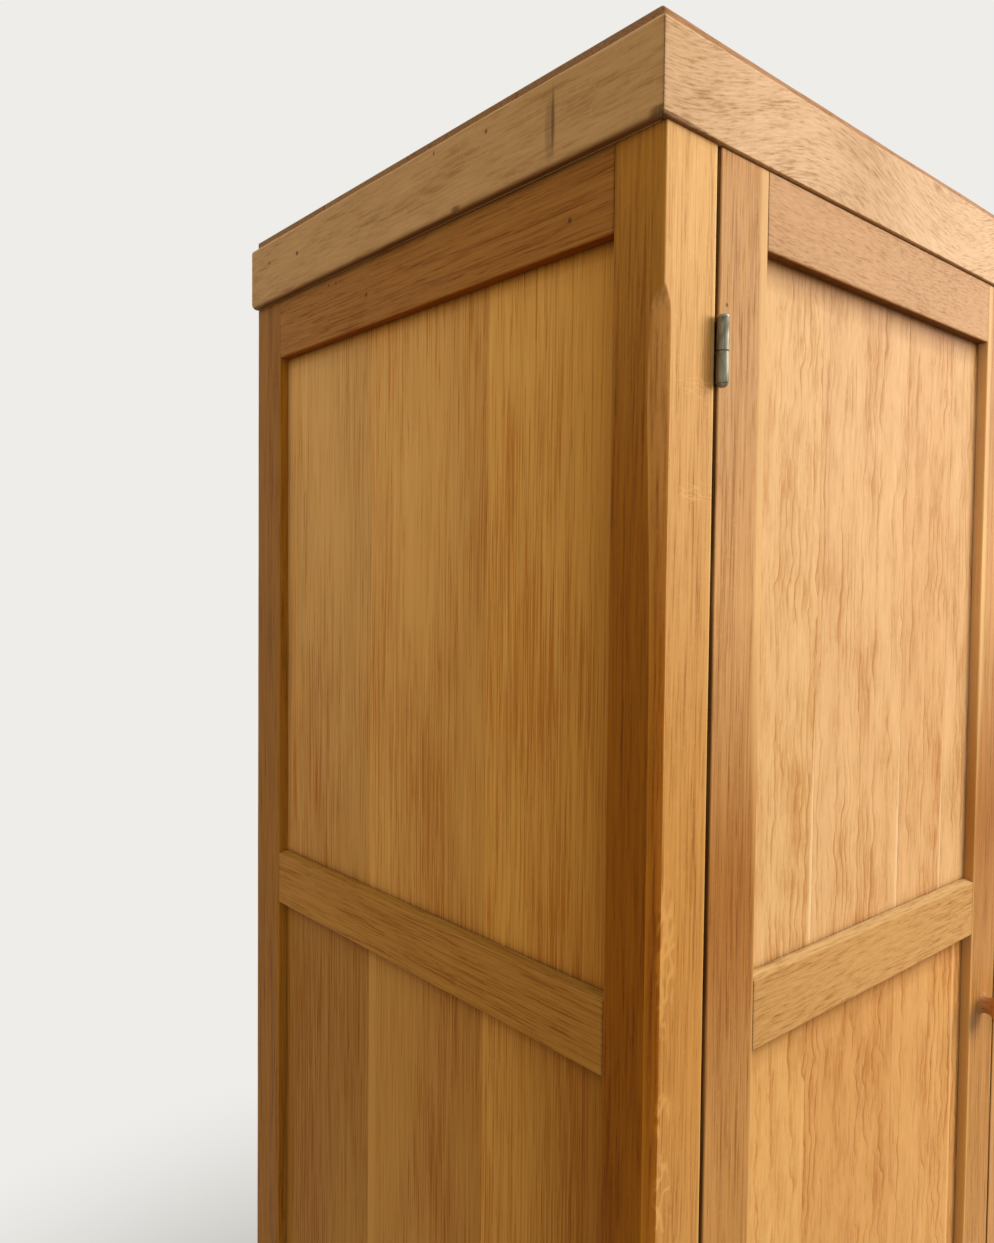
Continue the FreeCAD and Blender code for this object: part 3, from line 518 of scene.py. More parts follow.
def oakFinish(name, slot, **changes):
    # Solid oak: rings at equal distances from the tree's heart, bent by noise and broken here and there; pores
    # in the early part of each ring, flecks across the rings, streaks and mottling; then wear, soot with painted
    # shade, and spots.
    look = {**oakLook, **changes}
    soot = (*look["soot"], 1)
    finish, tree, shader = newFinish(name)
    body = put(tree, "TexCoord", {}).outputs["Object"]
    grain = attributeOf(tree, "grain")
    base = attributeOf(tree, "tone", "Color")
    wear, dirt, strip = split(tree, attributeOf(tree, "marks"))

    def perMetre(size):
        return (1000 / size[0], 1000 / size[0], 1000 / size[1])

    def times(first, second, clamp=False):
        return calc(tree, "MULTIPLY", first, second, clamp=clamp)

    def plus(first, second):
        return calc(tree, "ADD", first, second)

    def around0(value, amount):
        return times(calc(tree, "SUBTRACT", value, 0.5), amount)

    bent = grain
    for key in ("drift", "wiggle"):
        field = noiseAt(tree, grain, perMetre(look[key + "Size"]), 2.0, 0.5, colour=True)
        centred = vectorCalc(tree, "SUBTRACT", field, (0.5, 0.5, 0.5))
        size = 2 * look[key] * mm
        bent = vectorCalc(tree, "ADD", bent, vectorCalc(tree, "MULTIPLY", centred, (size, size, 0)))
    radius = vectorCalc(tree, "LENGTH", vectorCalc(tree, "MULTIPLY", bent, (1, 1, 0)))
    uneven = put(tree, "TexNoise", {"W": times(radius, 55.0), "Scale": 1.0, "Detail": 1.0},
                 noise_dimensions="1D").outputs[0]
    year = calc(tree, "DIVIDE", radius, look["ringWidth"] * mm)
    year = plus(year, times(uneven, 3.0))
    part = calc(tree, "FRACT", year)
    whole = calc(tree, "FLOOR", year)
    strength = put(tree, "TexWhiteNoise", {"W": whole}, noise_dimensions="1D").outputs["Value"]
    late = calc(tree, "MULTIPLY_ADD", calc(tree, "POWER", part, 7.0), 0.75, times(part, 0.25))
    closing = spread(tree, part, 1.0, 0.93)
    ring = times(times(late, closing), spread(tree, strength, -0.3, 0.9))
    gaps = spread(tree, noiseAt(tree, grain, (34.0, 34.0, 13.0), 1.0), 0.38, 0.6, 1 - look["broken"], 1.0)
    ring = times(ring, gaps)

    streak = noiseAt(tree, bent, perMetre(look["streakSize"]), 3.0, 0.6)
    mottle = noiseAt(tree, bent, perMetre(look["mottleSize"]), 2.0, 0.55)
    pores = noiseAt(tree, bent, perMetre(look["poreSize"]), 2.0, 0.55)
    pore = times(spread(tree, pores, 0.54, 0.68), spread(tree, part, 0.85, 0.1, 0.45, 1.0))
    acrossB, acrossC, lengthwise = split(tree, grain)
    turned = times(calc(tree, "ARCTAN2", acrossC, acrossB), 0.35)     # metres round the heart
    ray = put(tree, "CombineXYZ", {0: radius, 1: turned, 2: lengthwise}).outputs[0]
    fleck = spread(tree, noiseAt(tree, ray, perMetre(look["fleckSize"]), 2.0, 0.6), 0.56, 0.7)

    # how dark the wood is: over 0 it goes to the dark tint, under 0 to the pale one
    dark = calc(tree, "MULTIPLY_ADD", ring, look["ring"], -0.12)
    dark = plus(dark, around0(streak, 2 * look["streak"]))
    dark = plus(dark, around0(mottle, 2 * look["mottle"]))
    dark = plus(dark, times(pore, look["pore"]))
    dark = calc(tree, "SUBTRACT", dark, times(fleck, look["fleck"]))
    colour = tinted(tree, times(dark, 1.0, clamp=True), base, base, look["darkTint"])
    colour = tinted(tree, times(dark, -1.0, clamp=True), colour, colour, look["paleTint"])
    sap = times(strip, spread(tree, streak, 0.25, 0.7, 0.55, 0.95))
    colour = tinted(tree, sap, colour, base, look["sapTint"])
    for centre, reach, size, width, amount in look["rays"]:      # pale loops: level lines of a noise
        level = noiseAt(tree, bent, perMetre(size), 1.0, 0.4)
        line = spread(tree, calc(tree, "ABSOLUTE", calc(tree, "SUBTRACT", level, 0.53)), width, 0.0)
        inZone = spread(tree, farFrom(tree, body, centre, reach), 1.0, 0.6)
        shown = times(line, times(inZone, amount))
        colour = tinted(tree, shown, colour, base, look["rayTint"])
    rubbed = times(wear, spread(tree, mottle, 0.3, 0.6))
    colour = tinted(tree, times(rubbed, 0.8), colour, colour, look["wornTint"])
    # dirt, with painted shade in gaps and recesses, takes the soot colour
    dirtyAndShaded = times(dirt, spread(tree, streak, 0.0, 0.55), clamp=True)
    colour = blended(tree, dirtyAndShaded, colour, soot)
    for centre, reach, amount in look["spots"]:
        covered = spread(tree, farFrom(tree, body, centre, reach), 1.0, 0.35)
        colour = blended(tree, times(covered, amount), colour, soot)
    tree.links.new(colour, shader.inputs["Base Color"])
    rough = plus(around0(streak, 0.16), look["roughness"])
    rough = plus(rough, times(pore, 0.15))
    tree.links.new(rough, shader.inputs["Roughness"])
    shader.inputs["Specular IOR Level"].default_value = look["specular"]
    height = plus(times(pore, -1.0), times(ring, -0.5))
    bump = put(tree, "Bump", {"Height": height, "Strength": look["bump"], "Distance": look["bumpDeep"] * mm})
    tree.links.new(bump.outputs[0], shader.inputs["Normal"])
    return finish


steelLook = {
    # the last colour is painted shade, put on the hinge leaves in the gap
    "clean": (140, 135, 113), "tarnish": (98, 92, 73), "bright": (200, 197, 182), "grime": (36, 27, 18),
    "patches": (260.0, 260.0, 70.0), "brushing": (1300.0, 1300.0, 45.0),
    "roughness": 0.52, "metallic": 0.75, "bump": 0.2, "bumpDeep": 0.2,
}


def steelFinish(name):
    # old plated steel: grey-green metal, duller patches, lines brushed along it, bright rubbed edges, a painted
    # highlight at the barrels' tips and painted shade in the hinge gap
    clean, tarnish, bright, grime = (
        (*linear(steelLook[key]), 1) for key in ("clean", "tarnish", "bright", "grime"))
    finish, tree, shader = newFinish(name)
    body = put(tree, "TexCoord", {}).outputs["Object"]
    wear, dirt = split(tree, attributeOf(tree, "marks"))[:2]
    patch = noiseAt(tree, body, steelLook["patches"], 2.0, 0.5)
    brushed = noiseAt(tree, body, steelLook["brushing"], 2.0, 0.6)
    colour = blended(tree, spread(tree, patch, 0.36, 0.7), clean, tarnish)
    colour = blended(tree, calc(tree, "MULTIPLY", spread(tree, brushed, 0.5, 0.7), 0.3), colour, bright)
    # pale on rubbed edges and a painted highlight at the barrels' tips, then painted shade in the gap
    colour = blended(tree, calc(tree, "MULTIPLY", wear, 0.85), colour, bright)
    colour = blended(tree, dirt, colour, grime)
    tree.links.new(colour, shader.inputs["Base Color"])
    rough = calc(tree, "MULTIPLY_ADD", patch, 0.3, steelLook["roughness"] - 0.12)
    tree.links.new(rough, shader.inputs["Roughness"])
    shader.inputs["Metallic"].default_value = steelLook["metallic"]
    bump = put(tree, "Bump", {"Height": calc(tree, "ADD", patch, brushed), "Strength": steelLook["bump"],
                              "Distance": steelLook["bumpDeep"] * mm})
    tree.links.new(bump.outputs[0], shader.inputs["Normal"])
    return finish


# marks seen on this press: nail holes and a stain on the left cornice and rail (place, half-sizes, darkness), and
# rays in the left front post (place, half-sizes, size of the loops, width of their line, paleness)
nailHoles = [
    ((-543, -97, 1809), (3, 2.2, 2.6), 0.7), ((-543, -31, 1815), (3, 2.0, 2.4), 0.6),
    ((-543, 195, 1794), (3, 3.2, 3.0), 0.85), ((-543, 254, 1799), (3, 2.6, 2.4), 0.7),
    ((-543, -170, 1791), (3, 2.2, 30), 0.55), ((-543, -167, 1786), (3, 7.0, 30), 0.3),     # stain, its soft edge
]
railHoles = [
    ((-535, -180, 1721), (3, 2.6, 2.6), 0.75), ((-535, 81, 1729), (3, 2.8, 2.6), 0.75),
    ((-535, 147, 1753), (3, 2.2, 2.4), 0.6), ((-535, 134, 1752), (3, 2.2, 2.4), 0.6),
    ((-470.6, -266.5, 1656.5), (1.8, 3, 2.0), 0.85),
]
rayZones = [
    ((-523.0, -265.5, 1222.0), (12, 4, 62), (9.0, 17.0), 0.11, 0.8),
    ((-524.0, -265.5, 1117.0), (10, 4, 18), (9.0, 16.0), 0.11, 0.7),
    ((-524.0, -265.5, 1064.0), (11, 4, 34), (8.5, 15.0), 0.11, 0.8),
    ((-500.0, -265.5, 1597.0), (26, 4, 9), (16.0, 4.0), 0.06, 0.35),
    ((-498.0, -265.5, 1528.0), (26, 4, 9), (16.0, 4.0), 0.06, 0.45),
]

frameOak = oakFinish(
    "waxedOakFrame", "oak_frame", spots=railHoles, rays=rayZones, streak=2.0, streakSize=(2.0, 80.0),
    pore=0.6, poreSize=(1.2, 26.0), mottle=1.1, mottleSize=(13.0, 240.0), sapTint=(1.4, 1.68, 1.95))
railOak = oakFinish(
    "waxedOakRail", "oak_frame", spots=railHoles, streak=2.0, streakSize=(1.9, 24.0),
    pore=0.5, poreSize=(1.2, 12.0))
sideRailOak = oakFinish(
    "waxedOakSideRail", "oak_frame", spots=railHoles, streak=2.3, streakSize=(1.7, 75.0),
    pore=1.0, poreSize=(1.3, 30.0), mottle=0.7, mottleSize=(12.0, 160.0), darkTint=(0.68, 0.51, 0.33))
topRailOak = oakFinish(
    "fleckedOakRail", "oak_frame", streak=1.5, streakSize=(1.6, 11.0), pore=0.4, poreSize=(1.0, 8.0), mottle=0.8)
sidePanelOak = oakFinish(
    "quarteredOakPanel", "oak_panel", ring=0.35, ringWidth=3.4, fleck=0.1, streak=2.5, streakSize=(1.6, 130.0),
    pore=0.8, poreSize=(1.2, 50.0), mottle=1.4, mottleSize=(90.0, 270.0), sapTint=(1.2, 1.3, 1.5),
    darkTint=(0.74, 0.52, 0.31))
doorPanelOak = oakFinish(
    "flatSawnOakPanel", "oak_panel", ring=2.0, broken=0.65, ringWidth=2.5, drift=2.6, wiggle=2.8, fleck=0.1,
    streak=0.9, streakSize=(2.2, 26.0), pore=0.4, mottle=1.2, mottleSize=(24.0, 90.0),
    sapTint=(1.24, 1.46, 1.85), darkTint=(0.72, 0.54, 0.34))
corniceOak = oakFinish(
    "fleckedOakCornice", "oak_cornice", ring=0.2, fleck=0.1, streak=2.2, streakSize=(1.5, 15.0),
    pore=0.3, poreSize=(1.0, 8.0), mottle=0.8, mottleSize=(20.0, 70.0))
sideCorniceOak = oakFinish(
    "smokedOakCornice", "oak_cornice", spots=nailHoles, ring=0.2, streak=1.3, streakSize=(2.4, 26.0), pore=0.15,
    mottle=0.9, mottleSize=(22.0, 90.0))
turnedOak = oakFinish("turnedOakKnob", "oak_turned", ringWidth=2.2)
drawerOak = oakFinish(
    "drawerFrontOak", "oak_frame", ring=1.1, broken=0.5, ringWidth=3.4, drift=2.2, wiggle=1.4,
    streak=1.2, streakSize=(1.8, 22.0), pore=0.5, mottle=0.9, mottleSize=(20.0, 90.0))
insideWood = oakFinish("plainInsideWood", "plain_wood", ring=0.7, streak=1.1, roughness=0.62)
agedSteel = steelFinish("agedHingeSteel")
print("finishes made")

# sizes that several pieces share, in mm as everywhere below; side -1 is the left one

halfWidth, innerHalf, railInner = 535.0, 482.0, 509.0
front, back = -265.5, 294.5
postBack, postFront = -221.5, 245.5            # the front posts' back and the back posts' front
caseTop, legHeight = 1760.0, 105.0
backRailFace, backBoardFace = 262.5, 282.5
stopFace = -243.5                              # what the doors close against
shelfHeights = (943.0, 1329.0)
drawerFloors = {"upper": 356.0, "lower": 165.0}
tuck = 2.0                                     # how far a panel's edge goes behind its frame
snug, clean = (0.5, 0.5), (False, False)       # ends that butt, and ends with no dirt from a joint
sideName = {-1: "left", 1: "right"}


def xSpan(side, first, last):
    return (side * first, side * last)


def outside(side):
    return "-x" if side < 0 else "+x"


def inside(side):
    return "+x" if side < 0 else "-x"


def above(z, heights):
    return (z + heights[0], z + heights[1])


def pairs(lines):
    return list(zip(lines, lines[1:]))


# posts

post = {
    # the left (-1) back post's colour is deeper and more saturated than the right's: painted shade, that side
    # facing away from the lamp
    "frontWood": (230, 169, 95), "backWood": {-1: (180, 116, 39), 1: (208, 150, 86)},
    # the outer side darker, most on the left and less towards its top: painted shade
    "outer": {-1: ((0.55, 0.35, 0.045), (0.64, 0.46, 0.15), 1500.0, 1660.0), 1: (0.92, 0.9, 0.86)},
    # the front face a little darker lower down: painted light falling off downwards
    "face": ((0.95, 0.93, 0.9), (1.0, 1.0, 1.0), 1200.0, 1420.0),
    "revealShade": (0.78, 0.72, 0.62),              # painted shade on the narrow face beside the panels, in the recess
    # on the left back post the back face is paled, so the side's painted shade stays off it
    "backTints": {-1: {"-y": (1.0, 1.12, 0.9), "+y": (1.2, 1.5, 2.6)}, 1: {}},
    "arris": (1.3, 2.0), "rebate": 10.0,
    "ends": {"ends": (2.0, 0.6), "joints": (False, True), "jointWide": (0.9, 2.0)},
    "backGrain": {"pith": (180, -300), "step": 20.0},
    # painted shade on the cut: dark in each stop's scoop, and a tint that is darker lower down and blends towards
    # the shaded outer side
    "chamfer": {"low": 200.0, "high": 1658.0, "stop": 18.0, "legs": (6.4, 7.2), "stopDark": 0.12,
                "tint": ((0.82, 0.55, 0.18), (1.1, 0.93, 0.76), 1380.0, 1640.0), "soften": 0.4,
                "rubbedBelow": 1600.0,
                "broad": (0.5, 5.0), "broadAt": 1588.0, "broadReach": 110.0},      # wider near its upper stop
    # lighter and greyer at the top, darker lower down: painted light falling off downwards
    "shades": [("z", 1760.0, 130.0, (1.14, 1.22, 1.36)), ("z", 1200.0, 250.0, (0.87, 0.78, 0.6))],
    # soot and painted shade on the inner face, in the door's gap
    "sapwood": (1.6, 1.6, 0, 1), "soot": (0.95, 150.0),
}
for side in (-1, 1):
    label = sideName[side]
    corner = outside(side) + "-y"
    rebate = innerHalf + post["rebate"]
    frontPost = plank(
        label + "FrontPost", "z", (xSpan(side, innerHalf, halfWidth), (front, postBack), (0, caseTop)),
        post["frontWood"], edges={corner: post["arris"]}, chamfer={"edge": corner, **post["chamfer"]},
        tints={outside(side): post["outer"][side], "+y": post["revealShade"], "-y": post["face"]},
        shades=post["shades"], pale={inside(side): post["sapwood"]}, sooty={inside(side): post["soot"]},
        pith=(-side * 260, 210), step=12.0, **post["ends"])
    makePiece(label + "_front_post", [frontPost], frameOak)
    xOuter, xInner = xSpan(side, rebate, halfWidth), xSpan(side, innerHalf, rebate)
    parts = [plank(label + "BackPost", "z", (xOuter, (postFront, back), (0, caseTop)), post["backWood"][side],
                   tints=post["backTints"][side], **post["ends"], **post["backGrain"]),
             plank(label + "BackPostInner", "z", (xInner, (postFront, backBoardFace), (0, caseTop)),
                   post["backWood"][1], ease=0.4, ends=(2.0, 0.6), **post["backGrain"]),
             plank(label + "BackPostFoot", "z", (xInner, (backBoardFace, back), (0, legHeight)),
                   post["backWood"][1], ease=0.4, ends=(2.0, 0.4), **post["backGrain"])]
    makePiece(label + "_back_post", parts, frameOak)
print("posts made")

# side frames: rails with worn bevels, and panels of three boards, each paler towards the back: painted light

eased = (1.8, 1.6)
# the left side's (-1) colours are deeper and more saturated than the right's: painted shade, that side facing
# away from the lamp; the rails are paler towards the back: painted light
sideRail = {
    "z": {"top": (1701.0, 1760.0), "middle": (1129.0, 1184.0),
          "waist": (557.0, 612.0), "bottom": (105.0, 165.0)},
    "wood": {-1: (200, 134, 52), 1: (212, 156, 94)}, "topWood": {-1: (188, 121, 46), 1: (210, 154, 94)},
    # rail undersides darker: painted shade; tops a little darker and greyer
    "tints": {"-z": (0.68, 0.46, 0.2), "+z": (0.72, 0.84, 0.95)}, "fade": {"y": 0.1},
    # painted shade along the top rail, under the cornice
    "bevel": ((2.4, 9.0), 1.1), "underCornice": (2.2, 0.9),
}
sidePanel = {
    "x": (516.5, 525.5), "joints": [postBack, -82.0, 85.0, postFront],
    "grime": (9.0, (0.72, 0.58, 0.3)),         # painted shadow on the panel, under each rail
    # painted shade on the upper front board, beside the front post
    "frontShade": ("y", postBack, 42.0, (0.74, 0.66, 0.46)),
    "bays": {
        # the fades make each board paler towards the back and the upper boards paler towards the top, and the
        # upper bay's woods are paler than those below: painted light; the left side's (-1) woods, deeper than the
        # right's, are painted shade
        "Upper": {"z": (1184.0, 1701.0), "paintedLightBack": (0.16, 0.2, 0.10), "paintedLightUp": 0.2, "sapwood": 0.0,
                  "wood": {-1: [(244, 172, 76), (244, 174, 84), (240, 174, 90)],
                           1: [(226, 170, 106), (232, 178, 112), (224, 168, 104)]}},
        "Middle": {"z": (612.0, 1129.0), "paintedLightBack": (0.62, 0.14, 0.0), "paintedLightUp": 0.0, "sapwood": 12.0,
                   "wood": {-1: [(208, 140, 54), (210, 143, 61), (196, 133, 54)],
                            1: [(224, 168, 104), (228, 172, 108), (216, 158, 96)]}},
        "Lower": {"z": (165.0, 557.0), "paintedLightBack": (0.4, 0.15, 0.05), "paintedLightUp": 0.0, "sapwood": 8.0,
                  "wood": {-1: [(204, 136, 58), (208, 142, 66), (196, 130, 58)],
                           1: [(222, 164, 100), (226, 170, 106), (214, 156, 94)]}},
    },
}
for side in (-1, 1):
    label = sideName[side]
    face = outside(side)
    rails = []
    for key, z in sideRail["z"].items():
        shaped = {} if key == "top" else {face + "+z": sideRail["bevel"]}
        if key != "bottom":
            shaped[face + "-z"] = eased
        wood = sideRail["topWood" if key == "top" else "wood"][side]
        rails.append(plank(
            label + "SideRail" + key, "y", (xSpan(side, railInner, halfWidth), (postBack, postFront), z), wood,
            edges=shaped, ends=snug, pith=(330, 60), fade=sideRail["fade"], tints=sideRail["tints"],
            crevice={"+z": sideRail["underCornice"]} if key == "top" else {}))
    makePiece(label + "_side_rails", rails, sideRailOak)
    for bay, own in sidePanel["bays"].items():
        low, high = own["z"]
        boards = []
        for n, (y0, y1) in enumerate(pairs(sidePanel["joints"])):
            start = y0 - tuck if n == 0 else y0
            stop = y1 + tuck if n == 2 else y1
            # painted shadow under the rail above, and on the upper front board painted shade beside the post
            shades = [("z", high, *sidePanel["grime"])]
            if n == 0 and bay == "Upper":
                shades.append(sidePanel["frontShade"])
            sapwood = {"+y": (own["sapwood"], own["sapwood"], 0, 1)} if n == 1 and own["sapwood"] else {}
            span = (xSpan(side, *sidePanel["x"]), (start, stop), (low - tuck, high + tuck))
            boards.append(plank(
                label + bay + str(n), "z", span, own["wood"][side][n], ease=0.45, ends=snug, joints=clean,
                pith=(40, 700 if n % 2 else -560),
                fade={"y": own["paintedLightBack"][n], "z": own["paintedLightUp"]}, shades=shades, pale=sapwood,
                opening={"y": (postBack, postFront), "z": (low, high)}, step=26.0))
        makePiece(label + "_" + bay.lower() + "_side_panel", boards, sidePanelOak)
print("side frames made")

# front rails and back

frontRail = {
    "z": {"front_waist_rail": (522.0, 557.0), "front_drawer_rail": (331.0, 356.0),
          "front_bottom_rail": (105.0, 165.0)},
    "stopLow": 1715, "wood": (206, 150, 88), "fit": {"ends": snug, "pith": (70, 360)},
    "boltHole": {"side": "-z", "across": "xy", "x": (-33.2, -24.8), "y": (-239.7, -231.3), "deep": 15.0},
}
caseInside = (-innerHalf, innerHalf)
for node, z in frontRail["z"].items():
    rail = plank(node, "x", (caseInside, (front, postBack), z), frontRail["wood"], **frontRail["fit"])
    makePiece(node, [rail], railOak, name=node.replace("_", "") + "Oak")
stopRail = plank("stopRail", "x", (caseInside, (stopFace, postBack), (frontRail["stopLow"], caseTop)),
                 frontRail["wood"], mortise=frontRail["boltHole"], **frontRail["fit"])
makePiece("front_stop_rail", [stopRail], railOak)

backFrame = {
    "railWood": (188, 146, 98), "z": [(1701, 1760), (1129, 1184), (502, 557), (105, 165)],
    "corniceRail": ((-521, 521), (272.5, back), (caseTop, 1812)),
    "boardWood": [(190, 150, 104), (180, 138, 92), (196, 156, 110), (184, 142, 96)], "boards": 8,
    "bevels": {"-x+y": (2.0, 1.2), "+x+y": (2.0, 1.2)},
}
spans = {"backRail" + str(k): (caseInside, (backRailFace, backBoardFace), z)
         for k, z in enumerate(backFrame["z"])}
spans["corniceBackRail"] = backFrame["corniceRail"]
rails = [plank(name, "x", span, backFrame["railWood"], ends=snug, pith=(300, 60))
         for name, span in spans.items()]
makePiece("back_rails", rails, insideWood)
reach = innerHalf + post["rebate"]
joints = np.linspace(-reach, reach, backFrame["boards"] + 1)
boards = [plank("backBoard" + str(k), "z", (x, (backBoardFace, back), (legHeight, caseTop)),
                backFrame["boardWood"][k % 4], edges=backFrame["bevels"], ease=0.6, joints=clean,
                pith=(90 - 40 * (k % 3), 420), step=40.0) for k, x in enumerate(pairs(joints))]
makePiece("back_boards", boards, insideWood)
print("front rails and back made")

# cornice band, mitred at the front corners, and the top board let into it

top = {"half": 535.5, "front": -261.8, "low": 1812.0, "high": 1832.0, "edge": (3.0, 2.0),
       "woods": [(188, 136, 90), (186, 132, 78), (192, 140, 86), (186, 134, 80)],
       "endShade": ("x", -535.5, 5.0, (0.72, 0.7, 0.62))}
cornice = {
    "half": 543.0, "face": -269.3, "z": (1760.0, 1822.0), "thick": 22.0, "lip": 7.5,
    "frontWood": (233, 187, 137), "sideWood": {-1: (222, 166, 100), 1: (216, 168, 114)},
    # painted shade on the cornice's undersides
    "soffitShade": (0.36, 0.27, 0.2),
    "frontSoffit": ((0.36, 0.27, 0.2), (0.85, 0.76, 0.64), -495.0, -470.0),      # painted shade, lighter over the doors
    "lowerFront": (0.7, 1.8), "lowerSide": (4.4, 1.9), "upper": (3.4, 1.9), "wobble": 0.35,
    "swirl": {"axis": "z", "deep": 24.0, "wave": 420.0, "from": -450.0},
    "shades": [("x", -300.0, 50.0, (0.88, 0.83, 0.76)), ("x", -530.0, 60.0, (0.93, 0.9, 0.86))],
    "frontChip": {"edge": "-y-z", "at": -543.0, "wide": 80.0, "deep": 1.1, "dark": 0.35, "ragged": 0.05},
    "leftChips": [{"edge": "-x-z", "at": -265.0, "wide": 9.0, "deep": 0.6, "dark": 0.5, "ragged": 0.2},
                  {"edge": "-x-z", "at": -60.0, "wide": 8.0, "deep": 0.5, "dark": 0.4, "ragged": 0.3}],
}
lip = cornice["half"] - cornice["lip"]
band = plank("corniceFront", "x", ((-cornice["half"], cornice["half"]),
             (cornice["face"], cornice["face"] + cornice["thick"]), cornice["z"]), cornice["frontWood"],
             edges={"-y-z": cornice["lowerFront"], "-y+z": cornice["upper"]}, ends=(0.6, 0.6),
             mitre={"face": "-y", "low": 1, "high": 1}, pith=(40, 380), wobble=cornice["wobble"],
             tints={"-z": cornice["frontSoffit"]}, shades=cornice["shades"], chips=[cornice["frontChip"]],
             swirl=cornice["swirl"])
makePiece("cornice_front", [band], corniceOak)
for side in (-1, 1):
    face = outside(side)
    label = sideName[side] + "Cornice"
    shared = {"ease": 0.4, "ends": (0.6, 1.6), "joints": (True, False), "pith": (400, 30),
              "mitre": {"face": face, "low": 1, "high": 0}}
    wood = cornice["sideWood"][side]
    band = plank(label, "y", (xSpan(side, lip, cornice["half"]), (cornice["face"], back), cornice["z"]), wood,
                 edges={face + "-z": cornice["lowerSide"], face + "+z": cornice["upper"]},
                 chips=cornice["leftChips"] if side < 0 else [], tints={"-z": cornice["soffitShade"]},
                 wobble=cornice["wobble"], **shared)
    inner = plank(label + "Inner", "y", (xSpan(side, cornice["half"] - cornice["thick"], lip),
                  (cornice["face"] + cornice["lip"], back), (cornice["z"][0], top["low"])), wood, **shared)
    makePiece("cornice_" + sideName[side], [band, inner], sideCorniceOak, name=label)

joints = np.linspace(top["front"], back, len(top["woods"]) + 1)
boards = [plank("topBoard" + str(k), "x", ((-top["half"], top["half"]), y, (top["low"], top["high"])),
                top["woods"][k], edges={"-y+z": top["edge"]} if k == 0 else {}, ease=0.5, ends=(1.6, 1.6),
                joints=clean, pith=(60, -300), shades=[top["endShade"]]) for k, y in enumerate(pairs(joints))]
makePiece("top_board", boards, corniceOak)
print("cornice and top made")

# inside: floor, shelves, bearers and drawer runners

insideTones = [(204, 164, 114), (196, 154, 104), (210, 170, 120)]
fitting = {"floor": (557, 575), "shelfFront": -219.5, "shelf": (0, 18), "bearerInner": 485, "bearer": (-30, 0),
           "runnerInner": 455, "runner": (-22, 0), "guide": (0, 30)}


def shelfBoards(name, y0, y1, z):
    # three boards side by side along x, and a shorter one between the back posts
    lines = list(np.linspace(y0, postFront, 4)) + [y1]
    parts = []
    for k, y in enumerate(pairs(lines)):
        half = railInner if k < 3 else innerHalf
        parts.append(plank(name + str(k), "x", ((-half, half), y, z), insideTones[k % 3], ease=0.6, ends=snug,
                           joints=clean, pith=(120, 340), step=36.0))
    return parts


def batten(kind, side, z, xInner, colour):
    # a strip along the side of the case, from post to post
    span = (xSpan(side, xInner, railInner), (postBack, postFront), above(z, fitting[kind]))
    return plank(kind + str(side) + str(z), "y", span, colour, ends=snug, pith=(200, 90))


floorBoards = shelfBoards("floor", postBack, backBoardFace, fitting["floor"])
floorBoards.append(plank("floorEdge", "x", (caseInside, (stopFace, postBack), fitting["floor"]), insideTones[0],
                         ease=0.8, ends=snug, pith=(120, 340)))
makePiece("cupboard_floor", floorBoards, insideWood)
shelves = []
for k, z in enumerate(shelfHeights):
    shelves += shelfBoards("shelf" + str(k), fitting["shelfFront"], backRailFace, above(z, fitting["shelf"]))
makePiece("shelves", shelves, insideWood, name="shelfBoards")
bearers = [batten("bearer", side, z, fitting["bearerInner"], insideTones[1])
           for side in (-1, 1) for z in shelfHeights]
makePiece("shelf_bearers", bearers, insideWood)
runners = []
for side in (-1, 1):
    for z in sorted(drawerFloors.values()):
        runners += [batten("runner", side, z, fitting["runnerInner"], insideTones[2]),
                    batten("guide", side, z, innerHalf, insideTones[1])]
makePiece("drawer_runners", runners, insideWood)
print("inside made")

# doors: stiles, rails with worn bevels, panels of four boards with pale sapwood along the joints

